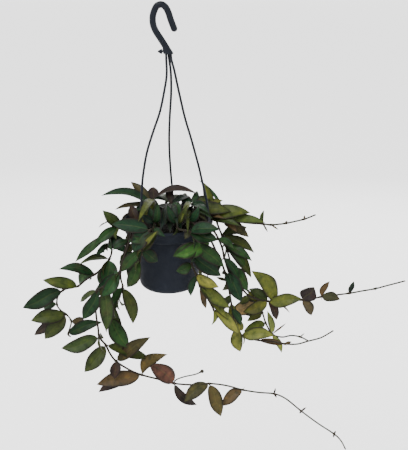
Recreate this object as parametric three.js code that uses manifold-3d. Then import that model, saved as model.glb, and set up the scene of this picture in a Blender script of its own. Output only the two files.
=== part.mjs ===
// Hanging pot with a trailing hoya: a hook with three strands, the pot, its soil and the leafy vines.
// Sizes are in millimetres and +Z is up. The origin is the seat of the hook, the top of its inner bend,
// which rests on a rail. +X is to the right and -Y towards the viewer. Pot, soil and vines are given from
// the centre of the pot's rim.

import * as THREE from 'three';
import { mergeVertices } from 'three/addons/utils/BufferGeometryUtils.js';
import Module from 'manifold-3d';

const wasm = await Module();
wasm.setup();

// Clearance between pieces that touch, and the distance under which two corners are one
const GAP = 0.3;
const WELD = 0.001;

// Where the centre of the rim hangs under the seat of the hook
const RIM_CENTRE = [6, 0, -350];

// Hook: a round rod bent in the plane Y = 0, a flared foot that holds the strands, and a flat lug
const HOOK_ROD_RADIUS = 5;
const HOOK_ROD_SIDES = 10;
const HOOK_STEP = 7;
const HOOK_ROUTE = [
  [19.9, -33.2], [14.8, -19.7], [10.8, -7.3], [6.2, 1.1], [0, 5], [-7.1, 2.7], [-11.1, -4.2], [-13.6, -12],
  [-14.1, -19.7], [-13.1, -27.5], [-9.3, -36.8], [-2.8, -46.8], [3, -56], [7.6, -63.6],
];
const FOOT_CENTRE_X = 10.4;
const FOOT_BOTTOM = -72.4;
const FOOT_OUTLINE = [[0, 16], [5, 16], [6.1, 10], [7.8, 4], [8.1, 2.2], [7.3, 0], [0, 0]];
const FOOT_SIDES = 16;
// Sideways shift of the foot's axis for each millimetre of height, so that it follows the rod
const FOOT_LEAN = -0.36;
const LUG_OUTLINE = [
  [5, -67], [0.6, -67], [0, -64.6], [-2.2, -64.8], [-6.9, -67.6], [-6.9, -69], [-1.6, -72.4], [0, -71.8],
  [0.6, -69.6], [5, -69.6],
];
const LUG_THICKNESS = 2.4;

// Strands: thin round rods from sockets in the foot to the clips on the rim
const STRAND_RADIUS = 1.4;
const STRAND_SIDES = 6;
const STRAND_STEP = 14;
const SOCKET_CIRCLE_RADIUS = 4.1;
const SOCKET_RADIUS = 1.9;
const SOCKET_DEPTH = 4;
const SOCKET_SIDES = 6;
// A strand's course: the share of its way down, the share of its way out, and millimetres to the right
const STRANDS = [
  {
    name: 'back',
    rimAngle: 86,
    footAngle: 90,
    course: [
      [0.03, 0, 0.5], [0.12, 0.02, 3], [0.25, 0.1, 2.8], [0.42, 0.4, -0.9], [0.57, 0.66, -3.2],
      [0.7, 0.81, -3.2], [0.83, 0.92, -1.8], [0.94, 0.98, 0], [1, 1, 0],
    ],
  },
  {
    name: 'left',
    rimAngle: 236,
    footAngle: 200,
    course: [
      [0.03, 0, 0], [0.12, -0.01, 0], [0.2, 0.06, 0], [0.34, 0.25, 0], [0.46, 0.52, 0],
      [0.57, 0.74, 0], [0.69, 0.88, 0], [0.78, 0.94, 0], [0.92, 0.99, 0], [1, 1, 0],
    ],
  },
  {
    name: 'right',
    rimAngle: 337,
    footAngle: 335,
    course: [
      [0.03, 0.01, 0], [0.1, 0.09, 0], [0.22, 0.2, 0], [0.38, 0.36, 0], [0.52, 0.54, 0],
      [0.68, 0.73, 0], [0.77, 0.82, 0], [0.9, 0.95, 0], [1, 1, 0],
    ],
  },
];

// Clip: it straddles the rim and takes the strand in its neck; (distance from the axis, height)
const CLIP_WIDTH = 11;
const CLIP_NECK_TOP = 15;
const CLIP_EYE_RADIUS = 74;
const CLIP_OUTLINE = [
  [68.4, -7], [70.2, -7], [71.2, 0.9], [76.4, 0.9], [76.4, -4.6], [75.1, -5], [75.4, -6.8], [78.4, -6],
  [78.4, 2.6], [76.4, 4.4], [76.2, CLIP_NECK_TOP], [71.8, CLIP_NECK_TOP], [71.6, 4.4], [68.8, 2.6],
];

// Pot: a tapered body with a round lower edge, a step out to a collar, and a bead round the rim
const POT_SIDES = 28;
const POT_HEIGHT = 120;
const POT_WALL = 2;
const RIM_TOP = 0.5;
const BEAD_RADIUS = 76;
const BEAD_BOTTOM = -4.2;
const COLLAR_TOP_RADIUS = 74.3;
const COLLAR_BOTTOM_RADIUS = 73;
const COLLAR_BOTTOM = -19.5;
const BODY_TOP_RADIUS = 62;
const BODY_TOP = -21;
const BODY_LOW_RADIUS = 50;
const BODY_LOW = -107;
const FOOT_RING_INNER = 32;
const FOOT_RING_OUTER = 37;
const FOOT_RING_HEIGHT = 1.5;
const CORNER_STEPS = 3;
const DRAIN_HOLES = 4;
const DRAIN_HOLE_RADIUS = 4;
const DRAIN_HOLE_SIDES = 8;
const DRAIN_CIRCLE_RADIUS = 22;

// Soil: it fills the pot to above the step, and each stem stands in a plain hole in it
const SOIL_EDGE = -14.5;
const SOIL_MIDDLE = -11.5;
const STEM_HOLE_RADIUS = 2.7;
const STEM_HOLE_BOTTOM = -26.3;
const STEM_HOLE_SIDES = 6;

// Stems and leaves
const STEM_RADIUS = 1.4;
const STEM_SIDES = 5;
const STEM_STEP = 17;
const ROOT_HEIGHTS = [-20, -12];
const LEAF_STALK_RADIUS = 1;
const LEAF_HALF_THICKNESS = 0.8;
const LEAF_STATIONS = [0.32, 0.7];
const LEAF_FULLEST = 0.85;
const LEAF_ROUNDNESS = 0.75;
const LEAF_FOLD_LEAST = 0.08;
const LEAF_FOLD_RANGE = 0.18;
const VIEWER_HEADING = -90;
const FLOWER_SPUR_RADIUS = 1.1;
const SEED = 2027;

// Vines that the viewer sees. A route runs from the root in the soil over the rim to the growing tip.
// A leaf's row is the route point it grows from, the x, y and z of its tip, the width of its blade, its
// facing (degrees from upward to the viewer), its bow and its lean; a ninth number is another heading.
const VINES = [
  {
    name: 'vine_far_left',
    route: [
      [-38, 2, -26], [-46, 0, 2], [-60, -8, 13], [-73, -14, 9], [-80, -18, -8], [-94, -18, -22],
      [-97, -17, -37], [-95, -16, -51], [-100, -15, -67], [-111, -13, -82], [-126, -12, -96],
      [-142, -10, -107], [-156, -9, -119], [-170, -7, -123], [-183, -6, -128], [-192, -5, -139],
      [-195, -4, -155], [-190, -3, -166], [-180, -2, -175], [-172, -1, -188], [-175, 0, -202],
      [-179, 0, -214], [-175, 0, -219],
    ],
    leaves: [
      [4, -106, -30, 25, 17, 60, 3, 0], [4, -119, 5, -16, 13, -5, 8, 6],
      [5, -157, -25, -68, 15, 45, 8, 0], [5, -72, -40, -45, 21, 60, 4, 0],
      [6, -122, -25, -57, 10, 50, 3, 0], [8, -150, -28, -71, 15, 25, 8, 0],
      [8, -104, -28, -113, 27, 75, 3, 0], [10, -185, -25, -81, 16, 50, 8, 4],
      [10, -157, 12, -128, 17, 60, 3, 8], [12, -214, -22, -102, 19, 60, 5, 0],
      [14, -253, -16, -157, 26, 70, 3, 0], [16, -223, 14, -168, 16, 60, 3, 0],
      [18, -240, -16, -181, 24, 65, 5, 2], [18, -220, -4, -222, 24, 65, 5, 0],
      [18, -244, 22, -227, 17, 60, 3, 0], [19, -152, 14, -205, 16, 60, 3, -4],
      [21, -117, -8, -187, 19, 60, 5, -3], [4, -122, -36, -34, 16, 50, 6, 0],
    ],
  },
  {
    name: 'vine_long',
    route: [
      [-30, -32, -26], [-38, -40, 2], [-48, -50, 12], [-56, -59, 9], [-58, -68, -6], [-66, -73, -32],
      [-74, -76, -52], [-78, -78, -67], [-90, -79, -81], [-102, -79, -90], [-115, -79, -98],
      [-119, -76, -118], [-119, -72, -145], [-117, -68, -172], [-116, -66, -188], [-106, -62, -205],
      [-100, -60, -221], [-90, -57, -238], [-68, -54, -256], [-47, -50, -268], [-19, -45, -279],
      [8, -38, -291], [40, -32, -297], [70, -26, -298], [100, -20, -305], [130, -14, -317],
      [159, -9, -325], [187, -5, -330], [209, 0, -343], [238, 5, -371], [270, 9, -399], [301, 12, -423],
      [315, 14, -439], [324, 15, -457],
    ],
    leaves: [
      [7, -107, -92, -103, 20, 70, 4, -3], [9, -101, -92, -165, 22, 75, 3, -3],
      [10, -140, -88, -146, 21, 70, 3, -3], [10, -147, -60, -126, 13, 40, 3, 0],
      [14, -180, -76, -204, 23, 65, 3, -4], [15, -142, -80, -247, 24, 70, 3, -2],
      [15, -32, -47, -238, 19, 50, 4, 1], [17, -30, -66, -188, 20, 60, 3, -2],
      [17, -92, -70, -265, 17, 70, 2, 0], [19, -124, -66, -278, 25, 60, 3, 2],
      [19, -126, -36, -310, 20, 60, 3, 6], [19, -2, -62, -223, 19, 60, 3, -11],
      [21, -34, -52, -244, 28, 65, 3, 4], [21, 49, -26, -341, 15, 60, 2, 7],
      [23, 26, -44, -325, 24, 60, 3, 5], [23, 91, -38, -358, 24, 70, 3, -1],
      [25, 91, -28, -342, 22, 60, 3, 3], [27, 189, -5, -318, 3, 60, 0, 0],
      [27, 192, -5, -338, 3, 60, 0, 0], [29, 247, 5, -363, 3, 60, 0, 0],
      [29, 235, 5, -376, 3, 60, 0, 0], [31, 304, 12, -416, 3, 60, 0, 0],
      [31, 300, 12, -431, 3, 60, 0, 0], [2, -59, -34, 36, 15, 50, 4, -2],
    ],
    // The spur of an old flower head
    spurs: [
      {
        joint: 21,
        headRadius: 3.5,
        route: [[12, -38, -284], [26, -42, -276], [46, -44, -270], [58, -44, -264]],
      },
    ],
  },
  {
    name: 'vine_left_front',
    route: [
      [-34, -14, -26], [-42, -24, 2], [-50, -37, 13], [-60, -51, 10], [-64, -54, -18], [-71, -55, -41],
      [-75, -57, -56], [-78, -57, -74], [-77, -57, -88], [-75, -56, -101], [-81, -54, -120],
      [-89, -52, -139], [-97, -50, -160], [-104, -48, -180],
    ],
    leaves: [
      [9, -59, -62, -166, 20, 70, 3, -7], [10, -109, -48, -154, 17, 70, 3, 0],
      [11, -87, -40, -197, 17, 70, 3, 0], [12, -67, -62, -211, 26, 70, 3, 3],
      [7, -128, -50, -125, 16, 50, 4, 0], [5, -50, -48, -54, 11, 40, 3, 0],
    ],
  },
  {
    name: 'vine_left_rim',
    route: [
      [-14, -34, -26], [-17, -46, 3], [-19, -60, 13], [-21, -76, 9], [-26, -86, 10], [-32, -88, -6],
      [-39, -86, -24], [-43, -82, -43], [-44, -80, -54],
    ],
    leaves: [
      [4, -87, -78, 18, 22, 48, 3, 1], [4, -53, -94, -24, 25, 70, 3, 3],
      [6, -12, -98, 13, 18, 50, 3, 0], [6, -74, -84, -63, 18, 70, 3, 3],
      [6, -14, -84, -45, 19, 65, 4, 0], [7, -66, -78, -93, 19, 70, 3, -3],
      [2, -13, -74, 52, 16, 70, 4, 2], [2, -27, -58, 40, 15, 70, 4, -2],
      [2, -41, -64, 30, 15, 60, 4, -2],
    ],
  },
  {
    name: 'shoot_crown_left',
    route: [
      [-22, 6, -26], [-24, 4, 0], [-24, 0, 23], [-25, 0, 34],
    ],
    leaves: [
      [2, -111, -6, 44, 19, 12, 14, 0], [2, -63, 22, 60, 16, 30, 3, 0], [3, -25, 26, 50, 17, 50, 0, 0],
      [3, -39, -74, 16, 18, 60, 8, 0], [2, -88, -14, 23, 17, 20, 3, 0], [3, 51, 6, 42, 15, 5, 14, 0],
      [2, -22, -62, 9, 18, 40, 8, 0], [2, -57, -20, 16, 16, 30, 6, 0], [3, -16, -36, -5, 14, 65, 6, 0],
    ],
  },
  {
    name: 'shoot_crown_middle',
    route: [
      [4, -4, -26], [5, -6, 0], [5, -8, 17], [6, -8, 29],
    ],
    leaves: [
      [3, 27, 34, 27, 17, 5, 6, 0], [2, -2, -66, 14, 18, 40, 8, 0], [3, 25, -64, 22, 18, 40, 8, 0],
      [2, -32, 34, 1, 19, 10, 8, 0], [3, -20, 40, 28, 17, 10, 8, 0], [2, 12, -68, 13, 18, 35, 7, 0],
      [3, 0, 20, 50, 12, 40, 4, 0], [3, -9, -74, 6, 14, 65, 8, 2], [3, 24, -65, 2, 14, 65, 8, -2],
      [2, 6, -76, 3, 15, 60, 8, 0],
    ],
  },
  {
    name: 'shoot_crown_right',
    route: [
      [22, 8, -26], [25, 6, 0], [37, 2, 14], [41, 0, 27],
    ],
    leaves: [
      [2, 106, -16, 19, 22, 40, 8, 0], [2, 69, -60, 30, 17, 35, 12, 0], [3, 12, 44, 14, 18, 10, 6, 0],
      [2, 66, -52, 14, 12, 40, 6, 0], [3, 76, 3, 26, 16, 30, 5, 0], [2, 43, -62, 6, 14, 60, 8, 0],
    ],
  },
  {
    name: 'vine_right_upper',
    route: [
      [34, 14, -26], [40, 12, 2], [52, 8, 14], [66, 2, 5], [95, -2, 1], [122, -4, -4], [142, -5, -6],
      [160, -5, -7], [174, -4, -9], [199, -2, -7], [230, 2, -1], [249, 4, 6],
    ],
    leaves: [
      [3, 138, -12, 16, 24, 50, 10, 0], [3, 57, 14, 63, 15, 60, 0, 7], [4, 51, 24, 62, 8, 0, 0, 14],
      [4, 137, -10, -29, 17, 60, 5, 0], [4, 163, -20, 1, 18, 40, 5, 0], [7, 162, -3, 17, 6, 60, 0, -3],
      [7, 169, -5, -22, 3, 60, 0, 0], [8, 187, -4, -18, 3, 60, 0, 0], [9, 201, -2, -2, 3, 60, 0, 0],
      [10, 231, 2, 6, 3, 60, 0, 0], [4, 120, 40, 8, 18, 10, 8, 0], [3, 121, -30, -2, 15, 50, 6, 0],
    ],
  },
  {
    name: 'vine_far_right',
    route: [
      [30, -16, -26], [38, -22, 2], [50, -30, 13], [62, -36, 9], [74, -42, -2], [84, -48, -17],
      [91, -50, -34], [94, -50, -50], [99, -49, -66], [104, -46, -83], [113, -43, -99],
      [125, -40, -111], [137, -37, -125], [153, -34, -133], [170, -30, -138], [184, -28, -140],
      [206, -25, -140], [229, -22, -139], [246, -20, -138], [262, -18, -135], [286, -15, -133],
      [311, -12, -131], [333, -9, -128], [356, -6, -125], [382, -3, -119], [408, 0, -113],
    ],
    leaves: [
      [8, 134, -58, -109, 19, 65, 4, -5], [15, 141, -36, -80, 25, 60, 4, 8],
      [14, 138, -17, -120, 17, 50, 3, 0], [14, 127, -44, -152, 19, 60, 3, -3],
      [14, 226, -44, -127, 21, 60, 3, 1], [14, 186, -28, -174, 13, 60, 3, -3],
      [15, 208, -30, -160, 3, 60, 0, -2], [17, 249, -20, -116, 25, 60, 0, 2],
      [17, 246, -26, -167, 16, 60, 3, -3], [19, 276, -16, -107, 10, 60, 0, -3],
      [19, 294, -24, -137, 16, 60, 2, -2], [21, 318, -11, -109, 8, 60, 0, 0],
      [23, 359, -10, -123, 5, 60, 0, 0],
    ],
  },
  {
    name: 'vine_right_back',
    route: [
      [38, 26, -26], [46, 26, 2], [60, 27, 14], [75, 26, 10], [84, 19, -16], [92, 10, -34],
      [98, 2, -49], [104, -4, -69], [109, -8, -88], [123, -10, -111], [138, -10, -129], [151, -8, -149],
      [162, -6, -169], [169, -4, -191], [181, -2, -213], [198, -2, -219], [214, -2, -216],
      [230, -3, -218], [244, -4, -225],
    ],
    leaves: [
      [5, 147, -2, -60, 17, 45, 10, 0], [5, 135, 34, -26, 18, 40, 4, 0],
      [6, 142, -20, -68, 16, 45, 10, 0], [6, 141, -30, -95, 18, 58, 8, -5],
      [11, 105, -26, -160, 24, 65, 4, -3], [10, 153, -30, -141, 13, 60, 3, 0],
      [13, 130, -16, -201, 17, 60, 3, 0], [12, 131, 10, -180, 13, 50, 3, 0],
      [14, 171, -6, -167, 11, 60, 0, 2], [14, 198, -10, -246, 10, 60, 0, -3],
      [14, 205, -2, -192, 3, 60, 0, 0], [17, 238, -3, -211, 2, 60, 0, 0],
    ],
  },
  {
    name: 'vine_right_low',
    route: [
      [22, -32, -26], [28, -42, 3], [38, -54, 13], [50, -64, 9], [71, -74, -11], [80, -76, -29],
      [89, -74, -49], [95, -71, -68], [99, -68, -85], [104, -63, -112], [108, -59, -138],
      [111, -56, -157], [117, -53, -176], [124, -50, -192], [150, -47, -203], [178, -44, -207],
      [199, -41, -213], [221, -38, -215], [240, -35, -211], [261, -31, -207], [272, -29, -202],
      [284, -27, -195],
    ],
    leaves: [
      [7, 122, -84, -116, 22, 70, 3, -3], [8, 81, -66, -79, 5, 50, 0, 0],
      [11, 127, -46, -186, 13, 60, 3, 0], [11, 106, -50, -133, 13, 60, 2, 0],
      [12, 123, -58, -220, 19, 70, 3, 4], [13, 180, -58, -189, 20, 60, 3, -3],
      [16, 154, -30, -212, 10, 40, 2, 0], [16, 211, -50, -205, 5, 40, 0, 0],
      [2, 53, -66, 44, 16, 70, 4, 2],
    ],
  },
  {
    name: 'vine_right_rim',
    route: [
      [12, -36, -26], [14, -48, 3], [17, -62, 13], [20, -77, 9], [38, -84, 6], [48, -86, -12],
      [43, -84, -31], [41, -80, -50], [48, -78, -70], [54, -78, -90], [66, -78, -111], [77, -78, -133],
      [82, -78, -146],
    ],
    leaves: [
      [4, 85, -96, 16, 22, 35, 5, 0], [4, 83, -100, -1, 24, 55, 4, 3], [5, 11, -98, -30, 24, 65, 4, -5],
      [5, 93, -98, -48, 22, 65, 4, 0], [6, 89, -84, -70, 22, 65, 3, 2],
      [7, 15, -84, -61, 17, 60, 4, -4], [8, 39, -78, -108, 11, 60, 3, 3],
      [8, 85, -94, -85, 18, 60, 3, 4], [9, 104, -88, -125, 20, 60, 3, 1],
      [9, 64, -66, -136, 9, 50, 3, 0], [11, 119, -80, -176, 18, 65, 3, -3],
      [4, 30, -92, -3, 10, 50, 3, 0], [2, 34, -72, 48, 14, 70, 3, 2], [2, 2, -74, 49, 16, 70, 4, -2],
    ],
  },
];

// Vines behind the pot: angle round the rim, length of the hanging part and pairs of leaves
const BACK_VINES = [
  { name: 'vine_back_left', rimAngle: 130, out: 10, drop: 96, pairs: 4 },
  { name: 'vine_back_mid_left', rimAngle: 111, out: 26, drop: 112, pairs: 4 },
  { name: 'vine_back_middle', rimAngle: 94, out: 10, drop: 112, pairs: 4 },
  { name: 'vine_back_mid_right', rimAngle: 75, out: 26, drop: 117, pairs: 4 },
  { name: 'vine_back_right', rimAngle: 57, out: 10, drop: 100, pairs: 4 },
];
// A low shoot of leaves that fan out over the back of the rim
const BACK_SHOOT = { name: 'shoot_crown_back', root: [2, 38], height: 15, headings: [26, 52, 116, 149, 172] };
const BACK_ROOT_RADIUS = 44;
const BACK_RIM_HEIGHT = 10;
const BACK_LEAF_LENGTH = 42;
const BACK_LEAF_REACH = 0.84;
const BACK_LEAF_WIDTH = 17;
const BACK_LEAF_FACING = 68;
const BACK_SWAY = 5;

/** A repeatable source of numbers from 0 to 1. */
function makeRandom(seed) {
  let state = seed;
  return () => {
    state = (state * 1664525 + 1013904223) % 4294967296;
    return state / 4294967296;
  };
}

/** A closed solid from a geometry, with shared corners merged and its faces turned outward. */
function solid(geometry) {
  const bare = geometry.clone();
  bare.deleteAttribute('normal');
  bare.deleteAttribute('uv');
  const merged = mergeVertices(bare, WELD);
  const index = Array.from(merged.index.array);
  const corners = [];
  for (let i = 0; i < index.length; i += 3) {
    const [a, b, c] = index.slice(i, i + 3);
    if (a !== b && b !== c && c !== a) corners.push(a, b, c);
  }
  const make = (triangles) => new wasm.Manifold(new wasm.Mesh({
    numProp: 3,
    vertProperties: new Float32Array(merged.attributes.position.array),
    triVerts: new Uint32Array(triangles),
  }));
  const body = make(corners);
  return body.volume() > 0 ? body : make(corners.reverse());
}

/** The geometry of a solid. */
function geometryOf(body) {
  const mesh = body.getMesh();
  const geometry = new THREE.BufferGeometry();
  geometry.setAttribute('position', new THREE.BufferAttribute(mesh.vertProperties, 3));
  geometry.setIndex(new THREE.BufferAttribute(mesh.triVerts, 1));
  return geometry;
}

/** One solid made of several that overlap, without the hollows and scraps that joining may leave. */
function joined(bodies) {
  const pieces = bodies.reduce((whole, body) => whole.add(body)).decompose();
  return pieces.reduce((largest, piece) => (piece.volume() > largest.volume() ? piece : largest));
}

/** A body of revolution about the Z axis, from an outline of (radius, height) points. */
function turned(outline, sides) {
  const points = outline.map(([radius, height]) => new THREE.Vector2(radius, height));
  return new THREE.LatheGeometry(points, sides).rotateX(Math.PI / 2);
}

/** A round rod along a curve. */
function rod(curve, radius, sides, step) {
  const section = new THREE.Shape();
  for (let k = 0; k < sides; k += 1) {
    const angle = (2 * Math.PI * k) / sides;
    const corner = [radius * Math.cos(angle), radius * Math.sin(angle)];
    if (k === 0) section.moveTo(...corner);
    else section.lineTo(...corner);
  }
  return new THREE.ExtrudeGeometry(section, {
    steps: Math.ceil(curve.getLength() / step),
    bevelEnabled: false,
    extrudePath: curve,
  });
}

/** A smooth curve through points. */
function smoothCurve(points) {
  return new THREE.CatmullRomCurve3(points, false, 'catmullrom', 0.5);
}

/** A plate of an outline in the plane X, Z, spread evenly to both sides of Y = 0. */
function plate(outline, thickness) {
  const shape = new THREE.Shape(outline.map(([x, z]) => new THREE.Vector2(x, z)));
  const geometry = new THREE.ExtrudeGeometry(shape, { depth: thickness, bevelEnabled: false });
  return geometry.translate(0, 0, -thickness / 2).rotateX(Math.PI / 2);
}

/** An upright hole or peg with its lower end at (x, y, z). */
function upright(radius, height, sides, x, y, z) {
  const geometry = new THREE.CylinderGeometry(radius, radius, height, sides);
  return solid(geometry.rotateX(Math.PI / 2).translate(x, y, z + height / 2));
}

/** Radians from degrees. */
function radians(degrees) {
  return THREE.MathUtils.degToRad(degrees);
}

/** The point at a radius, an angle in degrees and a height. */
function polar(radius, degrees, height) {
  const angle = radians(degrees);
  return new THREE.Vector3(radius * Math.cos(angle), radius * Math.sin(angle), height);
}

/** Places of the strands' sockets in the foot of the hook. */
function footSocket(strand) {
  const centre = new THREE.Vector3(FOOT_CENTRE_X, 0, FOOT_BOTTOM);
  return polar(SOCKET_CIRCLE_RADIUS, strand.footAngle, 0).add(centre);
}

function makeHook() {
  const curve = smoothCurve(HOOK_ROUTE.map(([x, z]) => new THREE.Vector3(x, 0, z)));
  const [tipX, tipZ] = HOOK_ROUTE[0];
  const tip = new THREE.SphereGeometry(HOOK_ROD_RADIUS, HOOK_ROD_SIDES, 8).translate(tipX, 0, tipZ);
  const lean = new THREE.Matrix4().makeShear(0, 0, 0, 0, FOOT_LEAN, 0);
  const foot = turned(FOOT_OUTLINE, FOOT_SIDES).applyMatrix4(lean).translate(FOOT_CENTRE_X, 0, FOOT_BOTTOM);
  const whole = joined([
    solid(rod(curve, HOOK_ROD_RADIUS, HOOK_ROD_SIDES, HOOK_STEP)),
    solid(tip),
    solid(foot),
    solid(plate(LUG_OUTLINE, LUG_THICKNESS)),
  ]);
  return STRANDS.map(footSocket).reduce(
    (body, at) => body.subtract(
      upright(SOCKET_RADIUS, 2 * SOCKET_DEPTH, SOCKET_SIDES, at.x, at.y, at.z - SOCKET_DEPTH),
    ),
    whole,
  );
}

/** A strand: down out of the foot, outward on its course, and down into the clip's neck. */
function makeStrand(strand) {
  const top = footSocket(strand);
  const eye = polar(CLIP_EYE_RADIUS, strand.rimAngle, CLIP_NECK_TOP).add(new THREE.Vector3(...RIM_CENTRE));
  const inSocket = SOCKET_DEPTH - GAP;
  const points = [new THREE.Vector3(top.x, top.y, top.z + inSocket)];
  for (const [down, out, right] of strand.course) {
    points.push(new THREE.Vector3(
      THREE.MathUtils.lerp(top.x, eye.x, out) + right,
      THREE.MathUtils.lerp(top.y, eye.y, out),
      THREE.MathUtils.lerp(top.z, eye.z, down),
    ));
  }
  points.push(new THREE.Vector3(eye.x, eye.y, eye.z - inSocket));
  return solid(rod(smoothCurve(points), STRAND_RADIUS, STRAND_SIDES, STRAND_STEP));
}

/** A clip at its strand's place on the rim, with a socket in its neck. */
function makeClip(strand) {
  const body = solid(plate(CLIP_OUTLINE, CLIP_WIDTH));
  const socket = upright(
    SOCKET_RADIUS, 2 * SOCKET_DEPTH, SOCKET_SIDES, CLIP_EYE_RADIUS, 0, CLIP_NECK_TOP - SOCKET_DEPTH,
  );
  return body.subtract(socket).rotate([0, 0, strand.rimAngle]);
}

/** A quarter round from below to the side, as (radius, height) points about its centre. */
function quarterRound(centreRadius, centreHeight, radius, steps) {
  const arc = new THREE.Path().absarc(centreRadius, centreHeight, radius, -Math.PI / 2, 0, false);
  return arc.getPoints(steps).map((point) => [point.x, point.y]);
}

/** The inside of the pot from the axis up to the top of its step, moved inward by a clearance. */
function potInside(clearance, cornerSteps) {
  const lowRadius = BODY_LOW_RADIUS - POT_WALL;
  const corner = BODY_LOW_RADIUS - FOOT_RING_OUTER - POT_WALL - FOOT_RING_HEIGHT;
  return [
    [0, BODY_LOW - corner + clearance],
    ...quarterRound(lowRadius - corner, BODY_LOW, corner - clearance, cornerSteps),
    [BODY_TOP_RADIUS - POT_WALL - clearance, BODY_TOP + POT_WALL + clearance],
    [COLLAR_BOTTOM_RADIUS - POT_WALL - clearance, COLLAR_BOTTOM + POT_WALL + clearance],
  ];
}

function makePot() {
  const corner = BODY_LOW_RADIUS - FOOT_RING_OUTER;
  const outline = [
    [0, -POT_HEIGHT + FOOT_RING_HEIGHT],
    [FOOT_RING_INNER - FOOT_RING_HEIGHT, -POT_HEIGHT + FOOT_RING_HEIGHT],
    [FOOT_RING_INNER, -POT_HEIGHT],
    ...quarterRound(FOOT_RING_OUTER, BODY_LOW, corner, CORNER_STEPS),
    [BODY_TOP_RADIUS, BODY_TOP],
    [COLLAR_BOTTOM_RADIUS, COLLAR_BOTTOM],
    [COLLAR_TOP_RADIUS, BEAD_BOTTOM - 1],
    [BEAD_RADIUS, BEAD_BOTTOM],
    [BEAD_RADIUS, RIM_TOP - 1],
    [BEAD_RADIUS - 1, RIM_TOP],
    [COLLAR_TOP_RADIUS - POT_WALL, RIM_TOP],
    ...potInside(0, CORNER_STEPS).reverse(),
  ];
  let pot = solid(turned(outline, POT_SIDES));
  for (let k = 0; k < DRAIN_HOLES; k += 1) {
    const at = polar(DRAIN_CIRCLE_RADIUS, (360 * (k + 0.5)) / DRAIN_HOLES, -POT_HEIGHT);
    pot = pot.subtract(upright(DRAIN_HOLE_RADIUS, 8, DRAIN_HOLE_SIDES, at.x, at.y, at.z));
  }
  return pot;
}

function makeSoil(vines) {
  const outline = [
    ...potInside(GAP, 1),
    [COLLAR_BOTTOM_RADIUS - POT_WALL - GAP, SOIL_EDGE],
    [COLLAR_BOTTOM_RADIUS / 2, (SOIL_EDGE + 2 * SOIL_MIDDLE) / 3],
    [0, SOIL_MIDDLE],
  ];
  const height = SOIL_MIDDLE + 1 - STEM_HOLE_BOTTOM;
  const hole = ([x, y]) => upright(STEM_HOLE_RADIUS, height, STEM_HOLE_SIDES, x, y, STEM_HOLE_BOTTOM);
  return vines.reduce(
    (body, vine) => body.subtract(hole(vine.route[0])),
    solid(turned(outline, POT_SIDES)),
  );
}

/**
 * A leaf: a blade that widens from its stalk and ends in a point, folded up a little along its midrib.
 * It runs from base to tip on a line that bows towards the side it faces and leans to one edge.
 */
function makeLeaf(base, leaf, fold) {
  const along = new THREE.Vector3().subVectors(leaf.tip, base);
  const direction = along.clone().normalize();
  const heading = radians(leaf.heading);
  const facing = radians(leaf.facing);
  const normal = new THREE.Vector3(
    Math.cos(heading) * Math.sin(facing), Math.sin(heading) * Math.sin(facing), Math.cos(facing),
  );
  normal.addScaledVector(direction, -normal.dot(direction)).normalize();
  const side = new THREE.Vector3().crossVectors(direction, normal);
  const middle = (share) => {
    const arch = 4 * share * (1 - share);
    return base.clone()
      .addScaledVector(along, share)
      .addScaledVector(normal, leaf.bow * arch)
      .addScaledVector(side, leaf.lean * arch);
  };
  const ring = (share, half, thickness, lift) => {
    const centre = middle(share);
    return [
      centre.clone().addScaledVector(side, -half).addScaledVector(normal, lift),
      centre.clone().addScaledVector(normal, thickness),
      centre.clone().addScaledVector(side, half).addScaledVector(normal, lift),
      centre.clone().addScaledVector(normal, -thickness),
    ];
  };
  const rings = [ring(0, LEAF_STALK_RADIUS, LEAF_STALK_RADIUS, 0)];
  for (const share of LEAF_STATIONS) {
    const half = (leaf.width / 2) * Math.sin(Math.PI * share ** LEAF_FULLEST) ** LEAF_ROUNDNESS;
    rings.push(ring(share, half, LEAF_HALF_THICKNESS, fold * half));
  }
  return loft(rings, middle(1));
}

/** A closed skin over rings of four points, with a flat start and a pointed end. */
function loft(rings, end) {
  const points = [...rings.flat(), end];
  const triangles = [0, 1, 2, 0, 2, 3];
  for (let r = 0; r + 1 < rings.length; r += 1) {
    const low = 4 * r;
    const high = low + 4;
    // Both faces are split on the line from an edge to the next middle, so they stay alike
    triangles.push(low, high + 1, low + 1, low, high, high + 1);
    triangles.push(low + 2, low + 1, high + 1, low + 2, high + 1, high + 2);
    triangles.push(low + 2, high + 3, low + 3, low + 2, high + 2, high + 3);
    triangles.push(low, low + 3, high + 3, low, high + 3, high);
  }
  const last = 4 * (rings.length - 1);
  for (let k = 0; k < 4; k += 1) triangles.push(last + k, points.length - 1, last + ((k + 1) % 4));
  const geometry = new THREE.BufferGeometry().setFromPoints(points);
  geometry.setIndex(triangles);
  return solid(geometry);
}

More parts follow.
